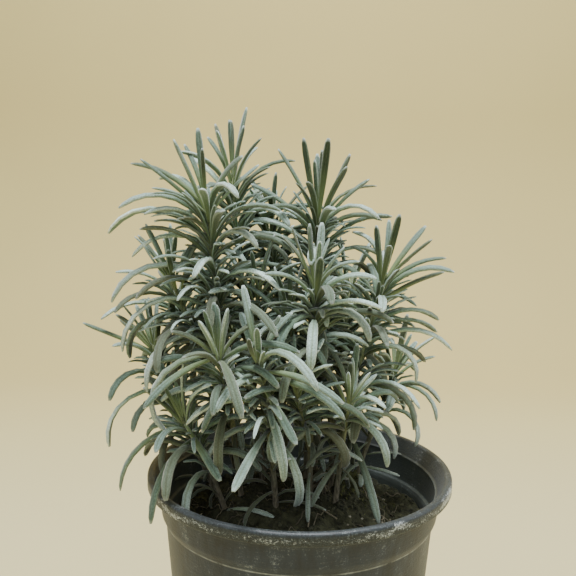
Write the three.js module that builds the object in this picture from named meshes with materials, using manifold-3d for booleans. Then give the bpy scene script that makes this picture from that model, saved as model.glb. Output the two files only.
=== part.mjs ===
// A young lavender in a round plastic nursery pot, in millimetres with +Z up.
// The origin is the middle of the pot's base, on the surface that the pot stands on; -Y is the front.
// Leafy stems rise from a mounded root ball, each in its own hole in the soil. A stem and all its
// leaves grew as one body. Leaves stand in crossed pairs, upright and short at the stem's tip, long
// and arching lower down, and a leaf that would run into another one turns aside as it grows.

import * as THREE from "three";
import { mergeVertices } from "three/addons/utils/BufferGeometryUtils.js";
import Module from "manifold-3d";

const wasm = await Module();
wasm.setup();

// ---- Driving dimensions, in millimetres and degrees ----

const ROUND_STEPS = 30; // facets round the pot and the soil
const POT_HEIGHT = 105;
const RIM_RADIUS = 60; // outside of the rolled rim
const RIM_DROP = 4.8; // height of the rim's turned-down skirt
const BASE_RADIUS = 46;
const SHOULDER_Z = POT_HEIGHT - 18.6; // where the stacking collar meets the body
const WALL = 1.4;
const FLOOR_TOP = 3.4;
const PAD_RADIUS = 12; // flat pad in the middle of the base
const CHANNEL_DEPTH = 2; // raised ring between pad and foot, where the drain holes are
const DRAIN_COUNT = 6;
const DRAIN_RADIUS = 3.5;
const DRAIN_CIRCLE = 27;

const GAP = 0.3; // running gap between pieces that touch
const SOIL_LEVEL = 84;
const MOUND_HEIGHT = 12.5;
const MOUND_RADIUS = 37;
const MOUND_CENTRE = [0, 1];
const SOIL_RINGS = [43, 35, 26, 17, 9];

const ROOT_DEPTH_Z = 77; // stems end here, inside the soil
const STEM_SIDES = 4; // square, as in all mint-family plants
const STEM_FOOT_RADIUS = 1.6;
const STEM_TIP_RADIUS = 0.8;

const LEAF_WIDTH = 3.6;
const LEAF_SIDES = 3; // two edges and the ridge of the arched upper side
const LEAF_RIDGE = 0.9; // ridge above the midline
const LEAF_EDGE_DROP = 0.9; // edges below the midline, as the margins roll under
const WAIST = 0.3; // width of a leaf's foot, as a share of its full width
const SHOULDERS = [0.35, 0.75]; // the leaf is parallel-sided between these shares of its length
const LEAF_CLEARANCE = 0.35;
const LEAF_ROOT_SHARE = 0.16; // the leaf's first part, crowded round the stem
const SLIVER = 0.01; // edges shorter than this are closed up
const UPRIGHT_PULL = 0.35; // how far leaves on a leaning stem turn towards the light

// Each row is one leafy stem. A shoot's line is a smooth curve that leaves its foot towards the bend
// and ends at the tip. The first shoot's foot is [x, y] in the root ball; a side shoot leaves the
// first one at the share `from` of its line.
// pairs counts the leaf pairs, leaf is the full leaf length and spin the compass turn of the topmost
// pair, in degrees from +X. key lists single leaves that stand out, each as
// [distance below the tip, compass turn, rise above the side, curl, length].
const STEMS = [
  {
    name: "stem_left_tall",
    shoots: [
      {
        foot: [-21, -3], bend: [-29, -5, 140], tip: [-36, -8, 209],
        pairs: 12, leaf: 36, spin: 100, seed: 11,
        key: [
          [4, 125, 85, 0, 32], [4, 175, 82, 5, 30], [4, 185, 70, 10, 35], [2, 160, 52, 50, 37],
          [6, 150, 70, 95, 36], [9, 195, 62, 105, 39], [3, 15, 85, 45, 25], [7, 305, 85, 145, 33],
          [15, 175, 60, 120, 48], [15, 170, 30, 85, 35], [21, 325, 80, 155, 31],
          [31, 190, 50, 125, 48], [31, 325, 45, 100, 34], [41, 200, 45, 140, 50],
          [40, 305, 30, 80, 44], [55, 195, 45, 155, 48],
        ],
      },
      {
        from: 0.28, bend: [-24, -22, 132], tip: [-30, -31, 158],
        pairs: 8, leaf: 31, spin: 80, seed: 12,
        key: [
          [1, 195, 15, 150, 46], [2, 190, 0, 50, 32], [4, 285, 30, 80, 40], [4, 350, 40, 80, 32],
        ],
      },
      {
        from: 0.56, bend: [-42, -8, 158], tip: [-49, -8, 180],
        pairs: 7, leaf: 32, spin: 20, seed: 13,
        key: [],
      },
    ],
  },
  {
    name: "stem_right",
    shoots: [
      {
        foot: [9, 1], bend: [17, 0, 125], tip: [32, 0, 184],
        pairs: 12, leaf: 34, spin: 85, seed: 21,
        key: [
          [4, 280, 85, 10, 27], [5, 235, 70, 5, 24], [5, 200, 85, 105, 28], [5, 30, 65, 15, 29],
          [7, 15, 68, 55, 30], [12, 8, 45, 25, 29], [23, 25, 36, 75, 34], [27, 5, 42, 90, 38],
          [30, 350, 40, 145, 31], [36, 185, 56, 140, 36], [48, 320, 55, 110, 36],
          [60, 298, -28, 25, 42],
        ],
      },
    ],
  },
  {
    name: "stem_middle_tall",
    shoots: [
      {
        foot: [2, 6], bend: [4, 7, 150], tip: [6, 10, 206],
        pairs: 13, leaf: 34, spin: 95, seed: 31,
        key: [
          [4, 290, 80, 5, 32], [5, 165, 65, 15, 33], [5, 355, 70, 5, 29], [6, 220, 75, 0, 34],
          [6, 260, 84, 20, 32], [9, 10, 60, 30, 29], [11, 355, 80, 125, 33], [12, 175, 52, 35, 34],
          [24, 180, 55, 90, 36], [26, 10, 50, 95, 34],
        ],
      },
      {
        from: 0.3, bend: [-2, -2, 140], tip: [-5, -10, 166],
        pairs: 7, leaf: 32, spin: 40, seed: 32,
        key: [],
      },
    ],
  },
  {
    name: "stem_front_middle",
    shoots: [
      {
        foot: [4, -9], bend: [4, -13, 145], tip: [5, -18, 180],
        pairs: 9, leaf: 32, spin: 10, seed: 41,
        key: [
          [7, 275, 60, 10, 22], [22, 325, 78, 158, 33], [20, 200, 55, 120, 33],
        ],
      },
      {
        from: 0.3, bend: [1, -20, 128], tip: [-2, -27, 146],
        pairs: 6, leaf: 31, spin: 50, seed: 42,
        key: [],
      },
    ],
  },
  {
    name: "stem_front_left",
    shoots: [
      {
        foot: [-8, -12], bend: [-10, -20, 125], tip: [-15, -33, 155],
        pairs: 9, leaf: 34, spin: 120, seed: 51,
        key: [
          [2, 320, 58, 120, 40], [2, 10, 52, 140, 30], [2, 170, 32, 85, 25], [3, 190, 5, 65, 31],
          [5, 310, 18, 52, 36], [8, 300, 5, 65, 34], [12, 290, -5, 10, 33], [33, 260, 14, 15, 50],
        ],
      },
    ],
  },
  {
    name: "stem_low_left",
    shoots: [
      {
        foot: [-26, -8], bend: [-31, -14, 106], tip: [-44, -22, 131],
        pairs: 7, leaf: 33, spin: 60, seed: 61,
        key: [
          [3, 295, -22, 5, 30], [3, 182, 0, 74, 41], [10, 235, 5, 74, 37],
        ],
      },
    ],
  },
  {
    name: "stem_far_left",
    shoots: [
      {
        foot: [-28, 5], bend: [-45, 5, 115], tip: [-60, 6, 152],
        pairs: 9, leaf: 31, spin: 40, seed: 71,
        key: [
          [3, 186, 38, 2, 30], [3, 165, 44, 20, 22], [20, 200, 24, 120, 39],
        ],
      },
    ],
  },
  {
    name: "stem_back_left_tall",
    shoots: [
      {
        foot: [-13, 8], bend: [-22, 12, 150], tip: [-29, 18, 218],
        pairs: 12, leaf: 35, spin: 60, seed: 81,
        key: [[3, 20, 82, 12, 32], [24, 0, 44, 70, 40], [30, 10, 34, 70, 38]],
      },
      {
        from: 0.4, bend: [-19, 3, 145], tip: [-17, -3, 178],
        pairs: 6, leaf: 32, spin: 35, seed: 82,
        key: [],
      },
    ],
  },
  {
    name: "stem_upper_left",
    shoots: [
      {
        foot: [-19, 11], bend: [-38, 14, 132], tip: [-54, 18, 176],
        pairs: 10, leaf: 33, spin: 30, seed: 91,
        key: [],
      },
    ],
  },
  {
    name: "stem_back_middle",
    shoots: [
      {
        foot: [-4, 15], bend: [-8, 20, 150], tip: [-14, 28, 196],
        pairs: 11, leaf: 33, spin: 15, seed: 101,
        key: [],
      },
    ],
  },
  {
    name: "stem_back_right",
    shoots: [
      {
        foot: [12, 10], bend: [14, 16, 130], tip: [20, 26, 172],
        pairs: 9, leaf: 33, spin: 50, seed: 111,
        key: [],
      },
    ],
  },
  {
    name: "stem_low_right",
    shoots: [
      {
        foot: [17, 6], bend: [28, 12, 112], tip: [40, 22, 140],
        pairs: 7, leaf: 30, spin: 70, seed: 121,
        key: [[8, 350, 24, 110, 28]],
      },
    ],
  },
  {
    name: "stem_back_low_left",
    shoots: [
      {
        foot: [-12, 21], bend: [-20, 34, 118], tip: [-34, 44, 160],
        pairs: 8, leaf: 33, spin: 20, seed: 131,
        key: [],
      },
    ],
  },
  {
    name: "stem_back_low_right",
    shoots: [
      {
        foot: [5, 21], bend: [9, 34, 118], tip: [14, 45, 160],
        pairs: 8, leaf: 33, spin: 75, seed: 141,
        key: [],
      },
    ],
  },
  {
    name: "stem_front_right",
    shoots: [
      {
        foot: [13, -9], bend: [15, -16, 115], tip: [18, -24, 140],
        pairs: 5, leaf: 28, spin: 35, seed: 151,
        key: [],
      },
    ],
  },
];

// The growth rule of one leaf pair: pair 0 is the youngest, at the tip.
const PAIR_FIRST = 1; // mm below the tip
const PAIR_STEP = 2.7;
const PAIR_STEP_GROWTH = 0.25;
const YOUNG_LENGTH = 0.7; // share of the full length
const RISE = [82, 32]; // youngest and oldest, degrees above the side
const CURL = [5, 150];
const AGE_POWER = 0.62;
const ROOT_START = 0.4; // share of the stem's radius where a leaf begins
const CURL_POWER = 1.2; // the bend gathers towards the leaf's tip
const STRONG_CURL = 116; // a leaf that bends further than this needs one more step

// A leaf that would touch another takes the first of these turns that leaves it clear:
// [compass turn, rise, share of its length].
const TURNS = [
  [0, 0, 1], [13, 0, 1], [-13, 0, 1], [0, 11, 1], [0, -11, 1], [24, 6, 1], [-24, 6, 1], [24, -10, 1],
  [-24, -10, 1], [40, 0, 1], [-40, 0, 1], [0, 20, 0.9], [0, -22, 0.9], [56, 5, 1], [-56, 5, 1],
  [18, 0, 0.75], [-18, 0, 0.75], [0, 8, 0.6], [40, -25, 0.9], [-40, -25, 0.9], [75, 10, 0.8],
  [-75, 10, 0.8],
];

// ---- Small tools ----

const radians = THREE.MathUtils.degToRad;
const UP = new THREE.Vector3(0, 0, 1);
const compass = (degrees) => new THREE.Vector3(Math.cos(radians(degrees)), Math.sin(radians(degrees)), 0);

// Numbers from 0 to 1 that are the same on every run.
function seededRandom(seed) {
  let state = seed;
  return () => {
    state = (Math.imul(state, 1664525) + 1013904223) >>> 0;
    return state / 4294967296;
  };
}

// A closed three.js geometry as a solid that can be joined and cut.
function solidOf(geometry) {
  const bare = geometry.index ? geometry.toNonIndexed() : geometry.clone();
  bare.deleteAttribute("normal");
  bare.deleteAttribute("uv");
  const merged = mergeVertices(bare, 1e-4);
  return new wasm.Manifold(
    new wasm.Mesh({
      numProp: 3,
      vertProperties: new Float32Array(merged.attributes.position.array),
      triVerts: new Uint32Array(merged.index.array),
    }),
  );
}

// A solid back as a flat-shaded geometry.
function geometryOf(solid) {
  const mesh = solid.getMesh();
  const geometry = new THREE.BufferGeometry();
  const positions = new Float32Array(mesh.numVert * 3);
  for (let i = 0; i < mesh.numVert; i++) {
    const first = i * mesh.numProp;
    positions.set(mesh.vertProperties.subarray(first, first + 3), i * 3);
  }
  geometry.setAttribute("position", new THREE.BufferAttribute(positions, 3));
  geometry.setIndex(new THREE.BufferAttribute(new Uint32Array(mesh.triVerts), 1));
  const flat = geometry.toNonIndexed();
  flat.computeVertexNormals();
  return flat;
}

// Moves every vertex of a geometry to where place(vertex) says.
function reshape(geometry, place) {
  const position = geometry.attributes.position;
  const vertex = new THREE.Vector3();
  for (let i = 0; i < position.count; i++) {
    const moved = place(vertex.fromBufferAttribute(position, i));
    position.setXYZ(i, moved.x, moved.y, moved.z);
  }
  return geometry;
}

// A lathe turned so that its axis is +Z.
function turned(points) {
  const profile = points.map(([radius, z]) => new THREE.Vector2(radius, z));
  return new THREE.LatheGeometry(profile, ROUND_STEPS).rotateX(Math.PI / 2);
}

// ---- Pot ----

const SHOULDER_RADIUS = 53;
const COLLAR_RADIUS = 54.6;
const COLLAR_TOP_RADIUS = 55.4;
const RIM_CREST = POT_HEIGHT;

// Radius of the inside of the body wall at a height below the shoulder.
function innerRadius(z) {
  const share = z / SHOULDER_Z;
  return BASE_RADIUS + (SHOULDER_RADIUS - BASE_RADIUS) * share - WALL;
}

function makePot() {
  const outside = [
    [0, 0],
    [PAD_RADIUS, 0],
    [PAD_RADIUS + 1, CHANNEL_DEPTH],
    [BASE_RADIUS - 6, CHANNEL_DEPTH],
    [BASE_RADIUS - 5, 0],
    [BASE_RADIUS - 1, 0],
    [BASE_RADIUS, 1],
    [SHOULDER_RADIUS, SHOULDER_Z],
    [COLLAR_RADIUS, SHOULDER_Z + 2.6],
    [COLLAR_TOP_RADIUS, RIM_CREST - 7],
    [56.6, RIM_CREST - 4.7],
    [58.2, RIM_CREST - 2.1],
    [RIM_RADIUS - 1.3, RIM_CREST - 2.4],
    [RIM_RADIUS - 1.3, RIM_CREST - RIM_DROP],
    [RIM_RADIUS, RIM_CREST - RIM_DROP],
    [RIM_RADIUS, RIM_CREST - 2],
    [RIM_RADIUS - 0.5, RIM_CREST - 0.6],
    [RIM_RADIUS - 1.4, RIM_CREST],
  ];
  const inside = [
    [57.6, RIM_CREST - 0.3],
    [56.9, RIM_CREST - 1.2],
    [55.2, RIM_CREST - 4.1],
    [54.0, RIM_CREST - 6.8],
    [COLLAR_RADIUS - WALL, SHOULDER_Z + 1.8],
    [innerRadius(SHOULDER_Z), SHOULDER_Z - 1],
    [innerRadius(FLOOR_TOP), FLOOR_TOP],
    [0, FLOOR_TOP],
  ];
  let pot = solidOf(turned([...outside, ...inside]));
  for (let i = 0; i < DRAIN_COUNT; i++) {
    const angle = (2 * Math.PI * (i + 0.5)) / DRAIN_COUNT;
    const drill = new THREE.CylinderGeometry(DRAIN_RADIUS, DRAIN_RADIUS, 3 * FLOOR_TOP, 8)
      .rotateX(Math.PI / 2)
      .translate(DRAIN_CIRCLE * Math.cos(angle), DRAIN_CIRCLE * Math.sin(angle), 0);
    pot = pot.subtract(solidOf(drill));
  }
  return pot;
}

// ---- Soil ----

// Height of the soil's surface: a level fill, the old root ball standing out of it, and crumbs.
function soilHeight(x, y) {
  const away = Math.hypot(x - MOUND_CENTRE[0], y - MOUND_CENTRE[1]) / MOUND_RADIUS;
  const inMound = Math.max(0, 1 - away ** 2.6);
  const crumbs =
    0.7 * Math.sin(0.41 * x + 1.3) * Math.cos(0.37 * y) +
    0.5 * Math.sin(0.83 * x - 0.56 * y + 0.4) +
    0.4 * Math.cos(1.27 * y + 0.71 * x);
  return SOIL_LEVEL + MOUND_HEIGHT * inMound ** 0.75 + crumbs;
}

function makeSoil() {
  const edge = innerRadius(SOIL_LEVEL) - GAP;
  const profile = [
    [0, FLOOR_TOP + GAP],
    [innerRadius(FLOOR_TOP) - GAP, FLOOR_TOP + GAP],
    [edge, SOIL_LEVEL],
    ...SOIL_RINGS.map((radius) => [radius, SOIL_LEVEL]),
    [0, SOIL_LEVEL],
  ];
  const body = reshape(turned(profile), (v) => {
    const onTop = v.z > SOIL_LEVEL - 1e-3 && Math.hypot(v.x, v.y) < edge - 1e-2;
    return onTop ? v.setZ(soilHeight(v.x, v.y)) : v;
  });
  return solidOf(body);
}

// ---- Stems and leaves ----

function stemLine(shoot, parentLine) {
  const isSide = shoot.from !== undefined;
  const start = isSide ? parentLine.getPoint(shoot.from) : new THREE.Vector3(...shoot.foot, ROOT_DEPTH_Z);
  const line = new THREE.QuadraticBezierCurve3(
    start,
    new THREE.Vector3(...shoot.bend),
    new THREE.Vector3(...shoot.tip),
  );
  line.isSide = isSide;
  line.length = line.getLength();
  return line;
}

function stemRadius(line, share) {
  const foot = line.isSide ? (STEM_FOOT_RADIUS + STEM_TIP_RADIUS) / 2 : STEM_FOOT_RADIUS;
  return THREE.MathUtils.lerp(foot, STEM_TIP_RADIUS, share);
}

// A bar along a stem's line, thinner towards the tip. extra makes the hole that it stands in.
function stemSolid(line, spin, extra = 0) {
  const rod = new THREE.CylinderGeometry(1, 1, 1, STEM_SIDES, 5);
  const bent = reshape(rod, (v) => {
    const share = v.y + 0.5;
    const along = line.getPoint(share);
    const tangent = line.getTangent(share);
    const side = compass(spin + 45).addScaledVector(tangent, -compass(spin + 45).dot(tangent)).normalize();
    const front = new THREE.Vector3().crossVectors(side, tangent);
    const radius = stemRadius(line, share) + extra;
    const lower = share < 1e-6 ? -extra : 0;
    return along
      .addScaledVector(side, v.x * radius)
      .addScaledVector(front, v.z * radius)
      .addScaledVector(tangent, lower);
  });
  return solidOf(bent);
}

// The leaves of one shoot, from its growth rule and its key leaves.
function leavesOf(shoot) {
  const random = seededRandom(shoot.seed);
  const spread = (range) => (random() * 2 - 1) * range;
  const leaves = shoot.key.map(([down, turn, rise, curl, length]) => ({
    down, turn, rise, curl, length, sway: 0, width: LEAF_WIDTH, isKey: true,
  }));
  for (let pair = 0; pair < shoot.pairs; pair++) {
    const age = (pair / (shoot.pairs - 1)) ** AGE_POWER;
    const down = PAIR_FIRST + PAIR_STEP * pair + PAIR_STEP_GROWTH * pair * pair;
    for (const opposite of [0, 180]) {
      const grown = YOUNG_LENGTH + (1 - YOUNG_LENGTH) * Math.min(1, pair / 3);
      leaves.push({
        down,
        turn: shoot.spin + 90 * pair + opposite + spread(14),
        rise: RISE[0] + (RISE[1] - RISE[0]) * age + spread(8),
        curl: CURL[0] + (CURL[1] - CURL[0]) * age + spread(28),
        length: shoot.leaf * grown * (0.95 + spread(0.16)),
        sway: spread(24),
        width: LEAF_WIDTH * (0.6 + 0.4 * Math.min(1, pair / 3)) * (1 + spread(0.06)),
      });
    }
  }
  return leaves.filter((leaf) => leaf.down < 0.86 * shoot.line.length);
}

// Where a leaf runs: points along its midline, each with the leaf's side and upper directions.
function leafMidline(line, leaf, [turn, lift, share]) {
  const at = 1 - leaf.down / line.length;
  const axis = line.getTangent(at).lerp(UP, UPRIGHT_PULL).normalize();
  const out = compass(leaf.turn + turn);
  out.addScaledVector(axis, -out.dot(axis)).normalize();
  const across = new THREE.Vector3().crossVectors(axis, out);
  const pieces = 20;
  const step = (leaf.length * share) / pieces;
  const position = line.getPoint(at).addScaledVector(out, ROOT_START * stemRadius(line, at));
  const points = [];
  for (let i = 0; i <= pieces; i++) {
    const s = i / pieces;
    const rise = radians(leaf.rise + lift - leaf.curl * s ** CURL_POWER);
    const sway = radians(leaf.sway * s);
    const outward = out.clone().multiplyScalar(Math.cos(sway)).addScaledVector(across, Math.sin(sway));
    const heading = axis.clone().multiplyScalar(Math.sin(rise)).addScaledVector(outward, Math.cos(rise));
    const side = new THREE.Vector3().crossVectors(outward, axis).normalize();
    const upper = new THREE.Vector3().crossVectors(side, heading).normalize();
    points.push({ position: position.clone(), side, upper });
    position.addScaledVector(heading, step);
  }
  return points;
}

// Half width along the leaf: a narrow foot, parallel sides and a blunt tip.
function halfWidth(leaf, s) {
  const [low, high] = SHOULDERS;
  if (s < low) return (leaf.width / 2) * (WAIST + (1 - WAIST) * Math.sin((Math.PI / 2) * (s / low)));
  if (s < high) return leaf.width / 2;
  return (leaf.width / 2) * Math.sqrt(Math.max(0, 1 - ((s - high) / (1 - high)) ** 2.6));
}

// A leaf as a solid from its share `from` to its tip. extra fattens it, to keep a clearance.
function leafSolid(leaf, midline, from = 0, extra = 0) {
  const steps = leaf.curl > STRONG_CURL ? 4 : 3;
  const cone = new THREE.ConeGeometry(1, 1, LEAF_SIDES, steps);
  const bent = reshape(cone, (v) => {
    const share = Math.min(1, Math.max(0, v.y + 0.5));
    const s = from + (1 - from) * (1 - (1 - share) ** 2.2);
    const exact = s * (midline.length - 1);
    const low = Math.min(midline.length - 2, Math.floor(exact));
    const mix = exact - low;
    const place = midline[low].position.clone().lerp(midline[low + 1].position, mix);
    const side = midline[low].side.clone().lerp(midline[low + 1].side, mix).normalize();
    const upper = midline[low].upper.clone().lerp(midline[low + 1].upper, mix).normalize();
    if (share > 1 - 1e-6) {
      const ahead = new THREE.Vector3().crossVectors(upper, side);
      return place.addScaledVector(ahead, extra);
    }
    const half = halfWidth(leaf, s) + extra;
    const isRidge = v.z > -1e-6;
    const aside = isRidge ? 0 : Math.sign(v.x) * half;
    const fullness = Math.min(1, 0.5 + 2 * s);
    const above = isRidge ? LEAF_RIDGE * fullness + extra : -LEAF_EDGE_DROP * fullness - extra;
    return place.addScaledVector(side, aside).addScaledVector(upper, above);
  });
  return solidOf(bent);
}

function boxesMeet(a, b) {
  return [0, 1, 2].every((i) => a.min[i] <= b.max[i] && b.min[i] <= a.max[i]);
}

function touches(solid, others) {
  const box = solid.boundingBox();
  return others.some((o) => boxesMeet(box, o.box) && !solid.intersect(o.solid).isEmpty());
}

function boxed(solid, owner) {
  return { solid, owner, box: solid.boundingBox() };
}

// Grows every leaf of every stem. A leaf keeps clear of the pot, the soil and the other stems with
// their leaves, and of its own stem's leaves too where a turn allows that.
function growLeaves(stems, fixed) {
  const rods = stems.flatMap((stem) => stem.shoots.map((shoot) => boxed(shoot.rod, stem)));
  const blades = [];
  const outerBlades = [];
  for (const stem of stems) {
    for (const shoot of stem.shoots) {
      const ownRod = shoot.rod;
      for (const leaf of leavesOf(shoot)) {
        const strangers = [
          ...fixed,
          ...rods.filter((r) => r.owner !== stem),
          ...blades.filter((b) => b.owner !== stem),
        ];
        const kin = [
          ...rods.filter((r) => r.owner === stem && r.solid !== ownRod),
          ...outerBlades.filter((b) => b.owner === stem),
        ];
        let crossing = null;
        let chosen = null;
        for (const turn of TURNS) {
          const midline = leafMidline(shoot.line, leaf, turn);
          if (touches(leafSolid(leaf, midline, 0, LEAF_CLEARANCE), strangers)) continue;
          if (!touches(leafSolid(leaf, midline, LEAF_ROOT_SHARE, LEAF_CLEARANCE), kin)) {
            chosen = midline;
            break;
          }
          if (leaf.isKey) crossing ??= midline;
        }
        const midline = chosen ?? crossing;
        if (!midline) continue;
        blades.push(boxed(leafSolid(leaf, midline), stem));
        outerBlades.push(boxed(leafSolid(leaf, midline, LEAF_ROOT_SHARE), stem));
      }
    }
  }
  return blades;
}

// ---- The object ----

const POT_PLASTIC = new THREE.MeshStandardMaterial({ color: 0x3f4140, roughness: 0.6, metalness: 0 });
const PEAT = new THREE.MeshStandardMaterial({ color: 0x2b2620, roughness: 0.95, metalness: 0 });
const LEAF = new THREE.MeshStandardMaterial({ color: 0x7d8d7a, roughness: 0.8, metalness: 0 });

const group = new THREE.Group();

function addPart(name, solid, material) {
  const mesh = new THREE.Mesh(geometryOf(solid), material);
  mesh.name = name;
  group.add(mesh);
}

const pot = makePot();
const bareSoil = makeSoil();
const stems = STEMS.map(({ name, shoots }) => {
  const mainLine = stemLine(shoots[0]);
  return {
    name,
    shoots: shoots.map((shoot) => {
      const line = stemLine(shoot, mainLine);
      return { ...shoot, line, rod: stemSolid(line, shoot.spin) };
    }),
  };
});
const blades = growLeaves(stems, [boxed(pot), boxed(bareSoil)]);

let soil = bareSoil;
for (const stem of stems) {
  for (const shoot of stem.shoots) {
    soil = soil.subtract(stemSolid(shoot.line, shoot.spin, GAP));
  }
}

addPart("pot", pot, POT_PLASTIC);
addPart("soil", soil, PEAT);
for (const stem of stems) {
  const grown = blades.filter((b) => b.owner === stem).map((b) => b.solid);
  const rods = stem.shoots.map((shoot) => shoot.rod);
  addPart(stem.name, wasm.Manifold.union([...rods, ...grown]).simplify(SLIVER), LEAF);
}

export default group;
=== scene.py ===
# The looks of a young lavender in a round plastic nursery pot.
# Everything is modelled in millimetres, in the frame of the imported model: +Z up, the origin in the
# middle of the pot's base, -Y the front. A finished piece is scaled to metres with its object at
# the origin. The leafy stems repeat the growth rule of the part's source, so every fine leaf lies
# where its solid one does, and small leaves, felt, moss and roots come on top of that.

import math
import random
from collections import namedtuple

import bmesh
import bpy
from bpy.props import FloatProperty, FloatVectorProperty, IntProperty, PointerProperty
from mathutils import Matrix, Vector, kdtree, noise


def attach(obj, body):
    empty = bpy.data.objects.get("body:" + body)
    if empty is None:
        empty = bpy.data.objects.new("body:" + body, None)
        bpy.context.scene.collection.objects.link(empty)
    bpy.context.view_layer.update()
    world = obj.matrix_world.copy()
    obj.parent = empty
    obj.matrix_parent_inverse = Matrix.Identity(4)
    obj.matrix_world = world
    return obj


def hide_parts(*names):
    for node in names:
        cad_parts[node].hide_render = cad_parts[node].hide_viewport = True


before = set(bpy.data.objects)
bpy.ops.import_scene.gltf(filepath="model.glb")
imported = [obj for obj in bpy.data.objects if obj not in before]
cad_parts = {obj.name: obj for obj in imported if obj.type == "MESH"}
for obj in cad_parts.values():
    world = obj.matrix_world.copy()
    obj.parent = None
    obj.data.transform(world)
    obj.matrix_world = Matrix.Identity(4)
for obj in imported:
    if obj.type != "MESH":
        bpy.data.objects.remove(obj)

bl_info = {
    "name": "Potted lavender",
    "version": (1, 0, 0),
    "blender": (4, 5, 0),
    "location": "3D View > Sidebar > Lavender",
    "description": "Young lavender with felted leaves, in mossy soil in a worn nursery pot",
    "category": "Add Mesh",
}

MM = 0.001
FULL_TURN = 6.28  # a full turn, in radians, where a random direction is drawn
UP = Vector((0, 0, 1))
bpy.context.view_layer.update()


def srgb(hexcode):
    """Linear red, green, blue and alpha of an sRGB hex colour."""
    parts = [int(hexcode[i:i + 2], 16) / 255 for i in (1, 3, 5)]
    linear = [c / 12.92 if c <= 0.04045 else ((c + 0.055) / 1.055) ** 2.4 for c in parts]
    return (*linear, 1.0)


# ---- What a user would change ----


def colour(name, description, hexcode):
    """A colour setting."""
    return FloatVectorProperty(
        name=name, description=description, default=srgb(hexcode), size=4, subtype="COLOR",
        min=0, max=1,
    )


class StageSettings(bpy.types.PropertyGroup):
    floor: colour("Floor", "Colour of the plain floor", "#c8bd8b")
    wall: colour("Wall", "Colour of the plain wall behind", "#c7b678")
    light: FloatProperty(
        name="Light", description="Strength of all the lamps together", default=1.0,
        subtype="FACTOR",
    )


class PotSettings(bpy.types.PropertyGroup):
    plastic: colour("Plastic", "Colour of the moulded plastic outside", "#0a1320")
    clean: colour("Clean plastic", "Colour of the plastic where nothing lies on it", "#323735")
    film: colour("Film", "Lime and soil dried on the inner wall", "#4a524e")
    rim: colour("Rim", "Colour of the handled, greyed rim", "#313a3c")
    dust: colour("Dust", "Dried soil and dust on the outside", "#263242")
    chip: colour("Scuffs", "Whitened scuffs and dried splashes", "#c9cfcc")


class SoilSettings(bpy.types.PropertyGroup):
    peat: colour("Peat", "Dark, moist peat", "#26271c")
    crumb: colour("Crumbs", "Drier crumbs of the potting mix", "#4e4f38")
    moss: colour("Moss", "Moss on the mound", "#8a8d58")
    root: colour("Roots", "Old thin roots", "#8f8770")
    perlite: colour("Perlite", "White expanded grains in the mix", "#c8c4b4")
    crumbs: IntProperty(
        name="Crumbs", description="How many loose crumbs lie on the soil", default=1500
    )
    tufts: IntProperty(name="Moss tufts", description="How many moss tufts grow", default=1300)


class PlantSettings(bpy.types.PropertyGroup):
    # The felt's silvery top is partly painted light. The channel's darker green is partly painted shade,
    # of the underside and of its recess between the margins.
    felt: colour("Felt", "Silvery felt of the upper side", "#afc3be")
    margin: colour("Margin", "Thick felt on the rolled margins and the tip", "#dae5de")
    channel: colour("Channel", "Green between the margins underneath", "#7f937e")
    young: colour("Young growth", "Yellow-green heart of a shoot", "#8a9a66")
    # Old leaves are dulled partly by their own colour and partly by painted shade, as they sit low
    # inside the plant.
    old: colour("Old leaf", "Tired leaves low on the stem", "#77705a")
    bark: colour("Bark", "Woody foot of a stem", "#8b8470")
    axil_leaves: IntProperty(
        name="Axil leaves", description="Small leaves in the fork of a grown leaf", default=4
    )
    tip_leaves: IntProperty(
        name="Tip leaves", description="Thin upright leaves in the tuft of a shoot", default=5
    )


# ---- Small tools ----

# The inputs of a map-range node and of a colour mix: share, the colour at 0 and the one at 1.
RANGE = ("Value", "From Min", "From Max", "To Min", "To Max")
MIX = (0, 6, 7)


def add_node(tree, kind, inputs=(), stops=None, **settings):
    """One node with its settings. An input is a plain value, or the socket or the node to link
    from, which gives its first output in use."""
    node = tree.nodes.new("ShaderNode" + kind)
    for name, value in settings.items():
        setattr(node, name, value)
    for key, value in dict(inputs).items():
        if isinstance(value, bpy.types.Node):
            value = next(socket for socket in value.outputs if socket.enabled)
        if isinstance(value, bpy.types.NodeSocket):
            tree.links.new(value, node.inputs[key])
        else:
            node.inputs[key].default_value = value
    if stops:
        marks = node.color_ramp.elements
        while len(marks) < len(stops):
            marks.new(0.5)
        for mark, (position, value) in zip(marks, stops):
            mark.position = position
            mark.color = value
    return node


def new_material(name):
    """An empty material, its tree, and the socket of a point's place on the piece."""
    material = bpy.data.materials.new(name)
    material.use_nodes = True
    tree = material.node_tree
    tree.nodes.clear()
    return material, tree, add_node(tree, "TexCoord").outputs["Object"]


def shade(tree, colour_source, height_source, bump_mm, **surface):
    """Ends a tree with its shader, bump and output. surface holds the shader's constants."""
    bump = add_node(tree, "Bump", {"Height": height_source, "Distance": bump_mm * MM, "Strength": 1})
    constants = {
        name.replace("_", " ").title().replace("Ior", "IOR"): value
        for name, value in surface.items()
    }
    shader = add_node(
        tree, "BsdfPrincipled", {"Base Color": colour_source, "Normal": bump, **constants}
    )
    add_node(tree, "OutputMaterial", {"Surface": shader})


def grey(value):
    """A grey colour stop."""
    return (value, value, value, 1.0)


def new_object(name, bm, materials=()):
    """A bmesh in millimetres as an object at the origin, in metres."""
    bmesh.ops.scale(bm, vec=(MM, MM, MM), verts=bm.verts)
    mesh = bpy.data.meshes.new(name)
    bm.to_mesh(mesh)
    bm.free()
    for material in materials:
        mesh.materials.append(material)
    made = bpy.data.objects.new(name, mesh)
    bpy.context.scene.collection.objects.link(made)
    return made


def finish_piece(name, bm, materials, replaced=()):
    """A bmesh in millimetres as a piece of the object."""
    piece = new_object(name, bm, materials)
    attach(piece, "root")
    if replaced:
        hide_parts(*replaced)
    return piece


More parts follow.
